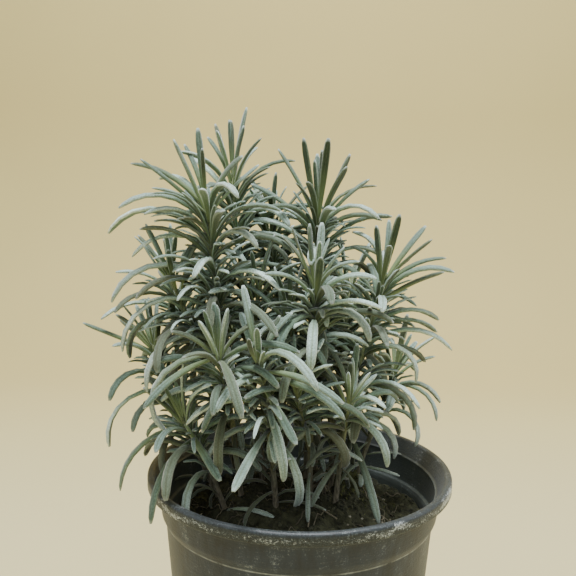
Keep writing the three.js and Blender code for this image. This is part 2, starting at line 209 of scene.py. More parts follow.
def tube_template(corners, spans, material_index=0):
    """A closed unit tube to press into shape: its mesh, and the corner and ring of each vertex.
    It has five corners or more, so only its caps have more than four."""
    bm = bmesh.new()
    bmesh.ops.create_cone(bm, cap_ends=True, segments=corners, radius1=1, radius2=1, depth=1)
    upright = [e for e in bm.edges if abs(e.verts[0].co.z - e.verts[1].co.z) > 0.5]
    bmesh.ops.subdivide_edges(bm, edges=upright, cuts=spans - 1, use_grid_fill=True)
    cells = [
        (round(math.atan2(v.co.x, v.co.y) / math.tau * corners) % corners,
         round((v.co.z + 0.5) * spans))
        for v in bm.verts
    ]
    bm.verts.index_update()
    layer = bm.loops.layers.uv.new("UVMap")
    for face in bm.faces:
        face.smooth = True
        face.material_index = material_index
        is_cap = len(face.verts) > 4
        around = [(cells[v.index][0] + corners // 2) % corners for v in face.verts]
        is_closing = not is_cap and max(around) - min(around) > 1
        for loop, turn in zip(face.loops, around):
            u = 0.5 if is_cap else (turn + (corners if is_closing and turn == 0 else 0)) / corners
            loop[layer].uv = (u, cells[loop.vert.index][1] / spans)
    for name in ("tint", "age"):
        bm.verts.layers.float.new(name)
    mesh = bpy.data.meshes.new("template")
    bm.to_mesh(mesh)
    bm.free()
    return mesh, cells


def tinted_bmesh(*layers):
    """An empty bmesh with float layers for its materials to read."""
    bm = bmesh.new()
    for name in layers:
        bm.verts.layers.float.new(name)
    return bm


def press(bm, template, rings, tint=0.0, age=0.0):
    """Adds a template to a mesh. rings[ring][corner] says where each vertex goes."""
    mesh, cells = template
    first = len(bm.verts)
    bm.from_mesh(mesh)
    bm.verts.ensure_lookup_table()
    tints = bm.verts.layers.float["tint"]
    ages = bm.verts.layers.float["age"]
    for vert, (corner, ring) in zip(bm.verts[first:], cells):
        vert.co = rings[ring][corner]
        vert[tints] = tint
        vert[ages] = age


def ring_round(centre, side, front, radius, corners, offset=0.0):
    """One ring of a rod, from its front to its side and on. offset turns it by part of a corner."""
    angles = [math.tau * (corner + offset) / corners for corner in range(corners)]
    return [centre + (side * math.sin(a) + front * math.cos(a)) * radius for a in angles]


# ---- The photograph's camera ----

FRAME_PIXELS = 576
FOCAL_PIXELS = 779.3
SENSOR_WIDTH = 36  # mm
CAMERA_PLACE = Vector((0, -298.2, 221.1))
CAMERA_YAW = math.radians(1.07)  # to the left
CAMERA_PITCH = math.radians(8.49)  # down
CAMERA_ROLL = math.radians(-0.77)
SOIL_REACH = (200, 400)  # mm from the camera, between which the soil lies
SOIL_SEARCH_STEP = 0.25


def camera_axes():
    """The camera's right, up and ahead directions."""
    ahead = Vector((
        -math.sin(CAMERA_YAW) * math.cos(CAMERA_PITCH),
        math.cos(CAMERA_YAW) * math.cos(CAMERA_PITCH),
        -math.sin(CAMERA_PITCH),
    ))
    level = ahead.cross(UP).normalized()
    plumb = level.cross(ahead)
    right = level * math.cos(CAMERA_ROLL) - plumb * math.sin(CAMERA_ROLL)
    up = plumb * math.cos(CAMERA_ROLL) + level * math.sin(CAMERA_ROLL)
    return right, up, ahead


def soil_under(pixel):
    """The place on the soil that the photograph shows at a pixel."""
    right, up, ahead = camera_axes()
    half = FRAME_PIXELS / 2
    ray = ahead * FOCAL_PIXELS + right * (pixel[0] - half) + up * (half - pixel[1])
    ray.normalize()
    reach, farthest = SOIL_REACH
    while reach < farthest:
        place = CAMERA_PLACE + ray * reach
        if place.z < soil_height(place.x, place.y):
            return place
        reach += SOIL_SEARCH_STEP
    raise ValueError(f"pixel {pixel} doesn't show the soil")


# ---- Stage ----

# The sheet: how far the floor reaches in front and to each side, its height just under the pot,
# the bend, and the wall's distance and height, in millimetres.
FLOOR_REACH = 2500
FLOOR_Z = -0.2
BEND_RADIUS = 300
BEND_STEPS = 12
WALL_DISTANCE = 800
WALL_TOP = 3000
FLOOR_COLOUR_END = 100  # the floor's colour turns into the wall's between these distances
WALL_COLOUR_START = 600

WORLD_COLOUR = "#dfe5e6"
WORLD_STRENGTH = 0.54
DAYLIGHT = "#f6f9ff"
PLANT_MIDDLE = (0, 0, 0.12)

# Each lamp: its name, place and aim in metres, width in metres, watts, spread in degrees, colour.
LAMPS = [
    ("lamp_above", (0.03, -0.03, 1.2), PLANT_MIDDLE, 0.4, 27.0, 180, DAYLIGHT),
    ("lamp_left", (-1.0, -0.1, 0.7), PLANT_MIDDLE, 0.6, 2.6, 180, DAYLIGHT),
    ("lamp_right", (1.0, 0.0, 0.8), PLANT_MIDDLE, 0.6, 4.2, 180, DAYLIGHT),
    ("lamp_front", (0.1, -1.2, 0.9), PLANT_MIDDLE, 0.7, 3.2, 180, DAYLIGHT),
    ("lamp_wall", (0, 0.15, 1.1), (0, 0.8, 0.3), 0.5, 0.45, 110, "#ffffff"),
]


class LAVENDER_OT_stage(bpy.types.Operator):
    """Make the camera, the plain floor with its wall, and the soft studio lamps"""

    bl_idname = "lavender.stage"
    bl_label = "Camera, floor and light"

    def execute(self, context):
        settings = context.scene.lavender_stage
        self.make_camera(context)
        self.make_floor(settings)
        self.make_light(context, settings)
        return {"FINISHED"}

    def make_camera(self, context):
        right, up, ahead = camera_axes()
        lens = bpy.data.cameras.new("camera")
        lens.sensor_width = SENSOR_WIDTH
        lens.lens = FOCAL_PIXELS / FRAME_PIXELS * SENSOR_WIDTH
        lens.clip_start = 0.01
        camera = bpy.data.objects.new("camera", lens)
        turn = Matrix((right, up, -ahead)).transposed().to_4x4()
        camera.matrix_world = Matrix.Translation(CAMERA_PLACE * MM) @ turn
        context.scene.collection.objects.link(camera)
        context.scene.camera = camera

    def make_floor(self, settings):
        """One sheet: the floor, a wide bend, and the wall."""
        outline = [(-FLOOR_REACH, FLOOR_Z)]
        for i in range(BEND_STEPS + 1):
            angle = math.pi / 2 * i / BEND_STEPS
            outline.append((
                WALL_DISTANCE - BEND_RADIUS + BEND_RADIUS * math.sin(angle),
                BEND_RADIUS * (1 - math.cos(angle)) + FLOOR_Z,
            ))
        outline.append((WALL_DISTANCE, WALL_TOP))
        bm = bmesh.new()
        verts = [bm.verts.new((-FLOOR_REACH, y, z)) for y, z in outline]
        edges = [bm.edges.new(pair) for pair in zip(verts, verts[1:])]
        swept = bmesh.ops.extrude_edge_only(bm, edges=edges)["geom"]
        moved = [part for part in swept if isinstance(part, bmesh.types.BMVert)]
        bmesh.ops.translate(bm, vec=(2 * FLOOR_REACH, 0, 0), verts=moved)
        for face in bm.faces:
            face.smooth = True
        floor = new_object("floor", bm, [painted_board(settings)])

    def make_light(self, context, settings):
        world = bpy.data.worlds.new("studio")
        world.use_nodes = True
        sky = world.node_tree.nodes["Background"].inputs
        sky["Color"].default_value = srgb(WORLD_COLOUR)
        sky["Strength"].default_value = WORLD_STRENGTH * settings.light
        context.scene.world = world
        for name, place, target, width, watts, spread, tone in LAMPS:
            lamp = bpy.data.lights.new(name, "AREA")
            lamp.shape = "DISK"
            lamp.size = width
            lamp.energy = watts * settings.light
            lamp.spread = math.radians(spread)
            lamp.color = srgb(tone)[:3]
            holder = bpy.data.objects.new(name, lamp)
            aim = Vector(target) - Vector(place)
            turn = aim.to_track_quat("-Z", "Y").to_matrix().to_4x4()
            holder.matrix_world = Matrix.Translation(place) @ turn
            holder.visible_camera = False
            context.scene.collection.objects.link(holder)


def painted_board(settings):
    """Painted board, rolled on: matt and even, with the faintest mottle. The floor's colour turns
    slowly into the wall's."""
    material, tree, place = new_material("painted board, rolled")
    axes = add_node(tree, "SeparateXYZ", {"Vector": place})
    beyond = add_node(
        tree, "MapRange",
        zip(RANGE, (axes.outputs["Y"], FLOOR_COLOUR_END * MM, WALL_COLOUR_START * MM)),
        interpolation_type="SMOOTHSTEP",
    )
    base = add_node(tree, "Mix", zip(MIX, (beyond, settings.floor, settings.wall)), data_type="RGBA")
    # The roller's mottle is about 170 mm across, and changes the tone by 3 %.
    mottle = add_node(tree, "TexNoise", {"Vector": place, "Scale": 6.0, "Detail": 2.0})
    tone = add_node(
        tree, "ValToRGB", {"Fac": mottle}, stops=[(0.3, grey(0.97)), (0.7, grey(1.0))]
    )
    mottled = add_node(
        tree, "Mix", zip(MIX, (1.0, base, tone)), data_type="RGBA", blend_type="MULTIPLY"
    )
    shade(tree, mottled, mottle, 0.02, roughness=0.9)
    return material


# ---- Pot ----

RIM_TOP = 105
RIM_RADIUS = 60
RIM_DROP = 4.8
SHOULDER_Z = RIM_TOP - 18.6
SHOULDER_RADIUS = 53
INNER_FOOT_RADIUS = 44.9
FLOOR_TOP = 3.4
LONGEST_EDGE = 8  # of the wall's outline
CORNER_STEPS = 4
POT_STEPS = 180
DRAIN_COUNT = 6
DRAIN_RADIUS = 3.5
DRAIN_CIRCLE = 27
DRAIN_STEPS = 32
SHARP_ANGLE = math.radians(40)

# The wall's outline from the middle of the base, up the outside, over the rim and down inside:
# radius, height and the rounding of that corner.
POT_OUTLINE = [
    (0, 0, 0), (12, 0, 0.5), (13, 2, 0.5), (40, 2, 0.5), (41, 0, 0.4), (45, 0, 0.6), (46, 1, 0.5),
    (SHOULDER_RADIUS, SHOULDER_Z, 0.7), (54.6, SHOULDER_Z + 2.6, 1.2), (55.4, RIM_TOP - 7, 1.5),
    (58.2, RIM_TOP - 2.1, 0.4), (58.7, RIM_TOP - 2.4, 0.2), (58.7, RIM_TOP - RIM_DROP, 0.3),
    (RIM_RADIUS, RIM_TOP - RIM_DROP, 0.4), (RIM_RADIUS, RIM_TOP - 0.4, 1.5),
    (57.4, RIM_TOP, 1.2), (54.4, RIM_TOP - 5.9, 0.3), (53.5, RIM_TOP - 6.3, 0.3),
    (53.7, RIM_TOP - 7.6, 0.5), (53.2, SHOULDER_Z + 1.5, 0.3), (52.0, SHOULDER_Z + 1.0, 0.3),
    (51.5, SHOULDER_Z - 0.6, 0.6), (INNER_FOOT_RADIUS, FLOOR_TOP, 1.2),
    (0, FLOOR_TOP, 0),
]


def rounded(outline):
    """The outline's points in order, with an arc of short steps at each rounded corner."""
    points = []
    for i, (radius, z, rounding) in enumerate(outline):
        corner = Vector((radius, 0, z))
        if not rounding:
            points.append(corner)
            continue
        before = Vector((outline[i - 1][0], 0, outline[i - 1][1])) - corner
        after = Vector((outline[i + 1][0], 0, outline[i + 1][1])) - corner
        reach = min(rounding, before.length * 0.48, after.length * 0.48)
        start = corner + before.normalized() * reach
        end = corner + after.normalized() * reach
        for step in range(CORNER_STEPS + 1):
            t = step / CORNER_STEPS
            points.append(start * (1 - t) ** 2 + corner * (2 * t * (1 - t)) + end * t ** 2)
    return points


def divided(points, longest):
    """The same points with extra ones where two are further apart than longest."""
    out = [points[0]]
    for a, b in zip(points, points[1:]):
        parts = max(1, math.ceil((b - a).length / longest))
        out.extend(a.lerp(b, (i + 1) / parts) for i in range(parts))
    return out


def spun(points, steps):
    """A closed turned body from its half outline in the XZ plane."""
    bm = bmesh.new()
    verts = [bm.verts.new(point) for point in points]
    edges = [bm.edges.new(pair) for pair in zip(verts, verts[1:])]
    bmesh.ops.spin(
        bm, geom=verts + edges, cent=(0, 0, 0), axis=(0, 0, 1), angle=math.tau, steps=steps,
        use_merge=True,
    )
    bmesh.ops.remove_doubles(bm, verts=bm.verts, dist=0.001)
    bmesh.ops.recalc_face_normals(bm, faces=bm.faces)
    for face in bm.faces:
        face.smooth = True
    return bm


def cut(piece, bm):
    """Cuts a closed bmesh, in millimetres, out of a piece and applies that."""
    cutter = new_object("cutter", bm)
    boolean = piece.modifiers.new("cut", "BOOLEAN")
    boolean.operation = "DIFFERENCE"
    boolean.object = cutter
    boolean.solver = "EXACT"
    bpy.context.view_layer.update()
    graph = bpy.context.evaluated_depsgraph_get()
    result = bpy.data.meshes.new_from_object(piece.evaluated_get(graph))
    piece.modifiers.clear()
    piece.data = result
    bpy.data.objects.remove(cutter)


class LAVENDER_OT_pot(bpy.types.Operator):
    """Turn the nursery pot with its rolled rim, stacking collar and drain holes"""

    bl_idname = "lavender.pot"
    bl_label = "Nursery pot"

    def execute(self, context):
        bm = spun(divided(rounded(POT_OUTLINE), LONGEST_EDGE), POT_STEPS)
        plastic = moulded_polypropylene(context.scene.lavender_pot)
        pot = finish_piece("nursery_pot", bm, [plastic], ["pot"])
        drills = bmesh.new()
        for i in range(DRAIN_COUNT):
            angle = math.tau * (i + 0.5) / DRAIN_COUNT
            x = DRAIN_CIRCLE * math.cos(angle)
            y = DRAIN_CIRCLE * math.sin(angle)
            bmesh.ops.create_cone(
                drills, cap_ends=True, segments=DRAIN_STEPS, radius1=DRAIN_RADIUS, radius2=DRAIN_RADIUS,
                depth=4 * FLOOR_TOP, matrix=Matrix.Translation((x, y, FLOOR_TOP)),
            )
        cut(pot, drills)
        pot.data.set_sharp_from_angle(angle=SHARP_ANGLE)
        return {"FINISHED"}


def moulded_polypropylene(settings):
    """Black polypropylene, injection moulded: satin, and slightly grey where light grazes it.
    Handling greys the lip in specks and whitens the rim's edge in chips, most at the two sides
    where the pot is held. Rain leaves dried soil on the outer wall, with whitish splashes."""
    material, tree, place = new_material("polypropylene, injection moulded")
    axes = add_node(tree, "SeparateXYZ", {"Vector": place})
    flat = add_node(tree, "VectorMath", {0: place, 1: (1, 1, 0)}, operation="MULTIPLY")
    out = add_node(tree, "VectorMath", {0: flat}, operation="LENGTH")
    aside = add_node(tree, "Math", {0: axes.outputs["X"]}, operation="ABSOLUTE")
    height = axes.outputs["Z"]

    # Each noise: its squeeze along the axes, its grain in millimetres, its detail and roughness.
    noises = []
    for squeeze, grain, detail, roughness in [
        ((1, 1, 0.35), 9, 7, 0.7),  # patches of dried soil, drawn down the wall by rain
        ((1, 1, 1), 0.8, 3, 0.5),  # grains of the surface
        ((1, 1, 1), 0.7, 5, 0.75),  # specks
        ((0.1, 0.1, 1), 0.5, 3, 0.5),  # lines, scratched round the wall, about 5 mm long
        ((1, 1, 1), 25, 2, 0.5),  # places with more chips
        ((0.6, 0.6, 1), 0.55, 5, 0.85),  # ragged flecks, a little longer round the rim
    ]:
        drawn = add_node(tree, "Mapping", {"Vector": place, "Scale": squeeze})
        noises.append(add_node(
            tree, "TexNoise",
            {"Vector": drawn, "Scale": 1 / (grain * MM), "Detail": detail, "Roughness": roughness},
        ))
    patches, grains, specks, lines, places, flecks = noises

    # How far a point lies outside the middle of the wall. The middle moves out from the base to
    # the rim, and once more in the collar and in the lip.
    outside = out
    for low, high, start, end in [
        (0, RIM_TOP, 45.4, 53.7),
        (SHOULDER_Z, SHOULDER_Z + 2, 0, 1.3),
        (RIM_TOP - 6.5, RIM_TOP, 0, 3),
    ]:
        middle = add_node(
            tree, "MapRange", zip(RANGE, (height, low * MM, high * MM, start * MM, end * MM))
        )
        outside = add_node(tree, "Math", {0: outside, 1: middle}, operation="SUBTRACT")

    # Chips follow a line that wanders down the rim's edge and up again.
    line = add_node(
        tree, "MapRange",
        zip(RANGE, (patches, 0.3, 0.7, (RIM_TOP - 1.2) * MM, (RIM_TOP - RIM_DROP + 0.2) * MM)),
    )
    distances = []
    for level in (SHOULDER_Z * MM, line):
        above = add_node(tree, "Math", {0: height, 1: level}, operation="SUBTRACT")
        distances.append(add_node(tree, "Math", {0: above}, operation="ABSOLUTE"))
    off_corner, off_line = distances

    # Each mask: the length it reads, where it changes in millimetres, and its two values.
    masks = []
    for length, start, end, first, last in [
        (outside, -0.1, 0.1, 0, 1),  # the outer wall
        (out, RIM_RADIUS - 0.9, RIM_RADIUS - 0.3, 0, 1),  # the rim's skirt
        (height, RIM_TOP - 6.6, RIM_TOP - 6.0, 0, 1),  # the clean wall above the inner ledge
        (off_corner, 0.1, 0.5, 0.5, 0),  # the corner under the collar
        (off_line, 0, 2, 0.15, 0),  # near the line of chips
        (aside, 10, 44, 0, 0.18),  # the two sides where the pot is held
    ]:
        masks.append(add_node(
            tree, "MapRange", zip(RANGE, (length, start * MM, end * MM, first, last))
        ))
    outer, skirt, clean, corner, near_line, held = masks
    lip = add_node(
        tree, "MapRange", zip(RANGE, (out, 56.4 * MM, 57.4 * MM)), interpolation_type="SMOOTHSTEP"
    )
    dusty = add_node(tree, "ValToRGB", {"Fac": patches}, stops=[(0.36, grey(0)), (0.66, grey(1))])
    dusty = add_node(tree, "Math", {0: dusty, 1: outer}, operation="MULTIPLY")
    dusty_corner = add_node(tree, "Math", {0: corner, 1: dusty}, operation="MULTIPLY")

    # Splashes show where specks, patches and lines add up, and chips where flecks, places, the
    # line and the held sides do. Each: what it starts from, what is added with its weight, and
    # where its sum turns into how much shows.
    worn = []
    for total, parts, low, high, most in [
        (patches, [(specks, 1), (lines, 0.4)], 1.34, 1.62, 0.45),
        (near_line, [(flecks, 1), (places, 0.6), (held, 1)], 1.07, 1.15, 0.75),
    ]:
        for part, weight in parts:
            total = add_node(tree, "Math", {0: part, 1: weight, 2: total}, operation="MULTIPLY_ADD")
        worn.append(add_node(tree, "MapRange", zip(RANGE, (total, low, high, 0, most))))
    splashes, chips = worn
    chips = add_node(tree, "Math", {0: chips, 1: skirt}, operation="MULTIPLY")

    # Inside, the wall keeps a film up to its ledge. The colours lie over each other, each with
    # the mask that shows it.
    handled = add_node(
        tree, "ValToRGB", {"Fac": specks}, stops=[(0.42, srgb("#1a1e1e")), (0.6, settings.rim)]
    )
    dusted = add_node(
        tree, "Mix", zip(MIX, (dusty, settings.plastic, settings.dust)), data_type="RGBA"
    )
    surface = settings.film
    for mask, over in [
        (clean, settings.clean), (outer, dusted), (lip, handled), (dusty_corner, settings.chip),
        (splashes, settings.chip), (chips, settings.chip),
    ]:
        surface = add_node(tree, "Mix", zip(MIX, (mask, surface, over)), data_type="RGBA")
    relief = add_node(tree, "Math", {0: grains, 1: lines}, operation="ADD")
    shade(
        tree, surface, relief, 0.1, roughness=0.5, ior=1.49, sheen_weight=0.08,
        sheen_roughness=0.5,
    )
    return material


# ---- Soil ----

SOIL_LEVEL = 84
MOUND_HEIGHT = 12.5
MOUND_RADIUS = 37
MOUND_CENTRE = (0, 1)
SOIL_EDGE = 51.1
SOIL_STEPS = 300
SOIL_RING = 0.85  # mm between rings
SOIL_BRINK = 0.5  # mm from the edge in to the first ring
GAP = 0.3

# Each roughness of the soil: how wide it is and how high, in millimetres, and where its noise is
# read. Clods, crumbs and grit.
SOIL_ROUGHNESS = [
    (5, 1.3, Vector((0, 0, 0))), (2.1, 0.9, Vector((7, 3, 1))), (1.0, 0.45, Vector((2, 9, 4))),
]


def soil_height(x, y):
    """Height of the soil without its crumbs, as in the part's source."""
    away = math.hypot(x - MOUND_CENTRE[0], y - MOUND_CENTRE[1]) / MOUND_RADIUS
    in_mound = max(0.0, 1 - away ** 2.6)
    waves = (
        0.7 * math.sin(0.41 * x + 1.3) * math.cos(0.37 * y)
        + 0.5 * math.sin(0.83 * x - 0.56 * y + 0.4)
        + 0.4 * math.cos(1.27 * y + 0.71 * x)
    )
    return SOIL_LEVEL + MOUND_HEIGHT * in_mound ** 0.75 + waves


def crumbled(x, y):
    """Height of the soil with its crumbs."""
    height = soil_height(x, y)
    for wide, high, shift in SOIL_ROUGHNESS:
        height += noise.noise(Vector((x, y, 0)) / wide + shift) * high
    return height


class LAVENDER_OT_soil(bpy.types.Operator):
    """Fill the pot with peat: a level fill, and the old root ball standing out as a mound"""

    bl_idname = "lavender.soil"
    bl_label = "Soil"

    def execute(self, context):
        foot_z = FLOOR_TOP + GAP
        outline = [Vector((0, 0, foot_z)), Vector((INNER_FOOT_RADIUS - GAP, 0, foot_z))]
        outline.append(Vector((SOIL_EDGE, 0, SOIL_LEVEL - 1)))
        brink = SOIL_EDGE - SOIL_BRINK
        rings = int(brink / SOIL_RING)
        top = [Vector((brink - SOIL_RING * i, 0, SOIL_LEVEL)) for i in range(rings)]
        bm = spun(outline + top + [Vector((0, 0, SOIL_LEVEL))], SOIL_STEPS)
        for vert in bm.verts:
            if vert.co.z > SOIL_LEVEL - 0.5:
                vert.co.z = crumbled(vert.co.x, vert.co.y)
        finish_piece("soil_bed", bm, [moist_peat(context.scene.lavender_soil)], ["soil"])
        return {"FINISHED"}


def moist_peat(settings):
    """Peat with bark fines, as filled and watered: nearly black and matt, with browner fibres
    where it has dried."""
    material, tree, place = new_material("peat, moist")
    dry = add_node(
        tree, "TexNoise",
        {"Vector": place, "Scale": 1 / (3 * MM), "Detail": 8.0, "Roughness": 0.7},
    )
    fine = add_node(tree, "TexNoise", {"Vector": place, "Scale": 1 / (0.7 * MM), "Detail": 3.0})
    tone = add_node(
        tree, "ValToRGB", {"Fac": dry}, stops=[(0.35, settings.peat), (0.68, settings.crumb)]
    )
    shade(tree, tone, fine, 0.5, roughness=0.92, specular_ior_level=0.3)
    return material


# ---- What lies and grows on the soil ----

# Where the photograph shows them, in its pixels.
PHOTO_ROOT_KNOT = (319, 491)
PHOTO_MOSS = (347, 483)
PHOTO_PERLITE = [(362, 520), (348, 526)]
PHOTO_ROOT_RUNS = [
    [(307, 496), (306, 508), (309, 519), (308, 529)],
    [(316, 509), (326, 514), (337, 521)],
]
CRUMB_SEED = 5
PERLITE_SEED = 8
ROOT_SEED = 12
MOSS_SEED = 21
GRAIN_ROUGHNESS = 0.09  # how far a grain's corners are pushed, as a share of its size
PERLITE_GRAINS = 22  # besides those two
ROOT_CORNERS = 5
ROOT_PIECES = 24
KNOT_LOOPS = 9
KNOT_RADIUS = 4.5
LOOSE_ROOTS = 60
LOOSE_ROOT_STEP = 0.45
MOSS_REACH = 13
CLOD_SIZE = Vector((6.5, 5.0, 4.2))  # half the width, depth and height of the mossy clod
TUFT_BLADES = 4


def scatter(rng, limit):
    """A random place on the soil within limit of the pot's axis."""
    angle = rng.uniform(0, math.tau)
    away = limit * math.sqrt(rng.random())
    return away * math.cos(angle), away * math.sin(angle)


def crumb_size(rng):
    """Most crumbs are fine, and one in seven is a piece of bark."""
    return rng.uniform(0.7, 1.5) if rng.random() < 0.85 else rng.uniform(1.5, 3.0)


def perlite_size(rng):
    """Perlite is screened more evenly."""
    return rng.uniform(0.8, 1.7)


def strew(name, rng, spots, draw_size, lift, material):
    """Rough grains on the soil: 20-faced balls pushed out of shape, half sunk."""
    bm = tinted_bmesh("tint")
    layer = bm.verts.layers.float["tint"]
    for x, y in spots:
        size = draw_size(rng)
        tint = rng.random()
        stretch = Vector((rng.uniform(0.7, 1.3), rng.uniform(0.7, 1.3), rng.uniform(0.5, 0.9)))
        angle = rng.uniform(0, FULL_TURN)
        axis = Vector((rng.random(), rng.random(), 1)).normalized()
        matrix = (
            Matrix.Translation((x, y, crumbled(x, y) + lift)) @ Matrix.Rotation(angle, 4, axis)
            @ Matrix.Diagonal((*(stretch * size / 2), 1))
        )
        made = bmesh.ops.create_icosphere(bm, subdivisions=1, radius=1, matrix=matrix)["verts"]
        for vert in made:
            push = Vector((rng.uniform(-1, 1), rng.uniform(-1, 1), rng.uniform(-1, 1)))
            vert.co += push * size * GRAIN_ROUGHNESS
            vert[layer] = tint
    finish_piece(name, bm, [material])


def press_root(bm, template, points, radius, tint):
    """A round root along its points."""
    side = None
    rings = []
    for i, point in enumerate(points):
        ahead = (points[min(i + 1, len(points) - 1)] - points[max(i - 1, 0)]).normalized()
        if side is None:
            side = ahead.cross(UP if abs(ahead.z) < 0.9 else Vector((1, 0, 0))).normalized()
        side = (side - ahead * side.dot(ahead)).normalized()
        rings.append(ring_round(point, side, ahead.cross(side), radius, ROOT_CORNERS))
    press(bm, template, rings, tint)


def smooth_path(places, pieces):
    """pieces + 1 points of an even curve through a few places."""
    points = []
    last = len(places) - 1
    for i in range(pieces + 1):
        exact = last * i / pieces
        low = min(last - 1, int(exact))
        t = exact - low
        a, b, c, d = (places[min(last, max(0, low + step))] for step in (-1, 0, 1, 2))
        points.append(
            0.5 * (2 * b + (c - a) * t + (2 * a - 5 * b + 4 * c - d) * t ** 2
                   + (3 * b - a - 3 * c + d) * t ** 3)
        )
    return points


def knot_points(rng, knot):
    """One curled root of the knot, which faces the camera more or less."""
    face = (CAMERA_PLACE - knot).normalized()
    tilt = Vector((rng.uniform(-0.6, 0.6), rng.uniform(-0.6, 0.6), rng.uniform(-0.6, 0.6)))
    axis = (face + tilt).normalized()
    first = axis.orthogonal().normalized()
    second = axis.cross(first)
    radius = KNOT_RADIUS * rng.uniform(0.45, 1.0)
    start = rng.uniform(0, FULL_TURN)
    sweep = rng.uniform(4.2, 6.6)
    points = []
    for i in range(ROOT_PIECES + 1):
        angle = start + sweep * i / ROOT_PIECES
        reach = radius * (1 + 0.12 * math.sin(3 * angle + start))
        points.append(knot + (first * math.cos(angle) + second * math.sin(angle)) * reach)
    return points


def loose_points(rng):
    """One root that winds over the soil and stands up a little in its middle."""
    x, y = scatter(rng, SOIL_EDGE - 6)
    heading = rng.uniform(0, FULL_TURN)
    points = []
    for i in range(ROOT_PIECES + 1):
        arch = 0.9 * math.sin(math.pi * i / ROOT_PIECES)
        points.append(Vector((x, y, crumbled(x, y) + 0.15 + arch)))
        heading += rng.uniform(-0.35, 0.35)
        x += LOOSE_ROOT_STEP * math.cos(heading)
        y += LOOSE_ROOT_STEP * math.sin(heading)
    return points


class LAVENDER_OT_soil_cover(bpy.types.Operator):
    """Strew crumbs, bark and perlite, lay old roots and let moss grow on the mound"""

    bl_idname = "lavender.soil_cover"
    bl_label = "Crumbs, roots and moss"

    def execute(self, context):
        settings = context.scene.lavender_soil
        rng = random.Random(CRUMB_SEED)
        # Each spot is drawn just before its crumb's own random numbers.
        spots = (scatter(rng, SOIL_EDGE - 1.5) for _ in range(settings.crumbs))
        strew("soil_crumbs", rng, spots, crumb_size, 0.1, strewn_crumbs(settings))
        rng = random.Random(PERLITE_SEED)
        spots = [soil_under(pixel).to_2d() for pixel in PHOTO_PERLITE]
        spots += [scatter(rng, SOIL_EDGE - 2) for _ in range(PERLITE_GRAINS)]
        strew("perlite", rng, spots, perlite_size, 0.2, expanded_perlite(settings))
        self.make_roots(settings)
        self.make_moss(settings)
        return {"FINISHED"}

    def make_roots(self, settings):
        rng = random.Random(ROOT_SEED)
        bm = tinted_bmesh("tint", "age")
        template = tube_template(ROOT_CORNERS, ROOT_PIECES)
        knot = soil_under(PHOTO_ROOT_KNOT)
        for _ in range(KNOT_LOOPS):
            points = knot_points(rng, knot)
            press_root(bm, template, points, rng.uniform(0.2, 0.42), rng.random())
        for pixels in PHOTO_ROOT_RUNS:
            places = [soil_under(pixel) + Vector((0, 0, 0.8)) for pixel in pixels]
            press_root(bm, template, smooth_path(places, ROOT_PIECES), 0.32, 0.8)
        for _ in range(LOOSE_ROOTS):
            points = loose_points(rng)
            press_root(bm, template, points, rng.uniform(0.1, 0.25), rng.random())
        finish_piece("old_roots", bm, [dry_root(settings)])

    def make_moss(self, settings):
        """A mossy clod, and tufts of pointed blades on it and round it."""
        rng = random.Random(MOSS_SEED)
        bm = tinted_bmesh("tint")
        layer = bm.verts.layers.float["tint"]
        centre = soil_under(PHOTO_MOSS)
        clod = bmesh.ops.create_icosphere(bm, subdivisions=5, radius=1)["verts"]
        for vert in clod:
            rough = 1 + 0.2 * noise.noise(vert.co * 2.1) + 0.12 * noise.noise(vert.co * 6)
            vert.co = centre + Vector((0, 0, 0.6)) + vert.co * CLOD_SIZE * rough
            vert[layer] = 0.15
        for face in bm.faces:
            face.smooth = True
        for i in range(settings.tufts):
            x = centre.x + rng.gauss(0, MOSS_REACH * 0.5)
            y = centre.y + rng.gauss(0, MOSS_REACH * 0.6)
            if noise.noise(Vector((x, y, 3)) / 4) < -0.12 or math.hypot(x, y) > SOIL_EDGE - 2:
                continue
            place = Vector((x, y, crumbled(x, y) - 0.2))
            if i % 2:
                place = rng.choice(clod).co.copy()
            tint = rng.random()
            for _ in range(TUFT_BLADES):
                lean = Vector((rng.uniform(-0.7, 0.7), rng.uniform(-0.7, 0.7), 1)).normalized()
                tall = rng.uniform(0.7, 1.7)
                turn = lean.to_track_quat("Z", "Y").to_matrix().to_4x4()
                made = bmesh.ops.create_cone(
                    bm, cap_ends=True, segments=3, radius1=0.28, radius2=0, depth=tall,
                    matrix=Matrix.Translation(place + lean * tall / 2) @ turn,
                )["verts"]
                for vert in made:
                    vert[layer] = tint
        finish_piece("moss", bm, [cushion_moss(settings)])


def tinted(name, dark, light, grain_mm, bump_mm, roughness):
    """A matt material between two colours: each grain has its own tint, and fine noise."""
    material, tree, place = new_material(name)
    tint = add_node(tree, "Attribute", attribute_name="tint").outputs["Fac"]
    grain = add_node(
        tree, "TexNoise", {"Vector": place, "Scale": 1 / (grain_mm * MM), "Detail": 3.0}
    )
    both = add_node(tree, "Math", {0: tint, 1: grain}, operation="MULTIPLY")
    tone = add_node(tree, "ValToRGB", {"Fac": both}, stops=[(0.0, dark), (0.6, light)])
    shade(tree, tone, grain, bump_mm, roughness=roughness)
    return material


def strewn_crumbs(settings):
    """Crumbs of peat and composted bark, screened: rough, dark brown, some dried paler."""
    return tinted("composted bark, screened", settings.peat, settings.crumb, 0.6, 0.2, 0.9)


def expanded_perlite(settings):
    """Perlite, popped by heat: chalky off-white grains, stained by the peat."""
    return tinted("perlite, expanded", srgb("#8e8873"), settings.perlite, 0.4, 0.1, 0.8)


def dry_root(settings):
    """Fine roots, dried where they left the soil: fibrous, brown to straw-coloured."""
    return tinted("root fibre, dried", srgb("#55503f"), settings.root, 0.8, 0.05, 0.8)


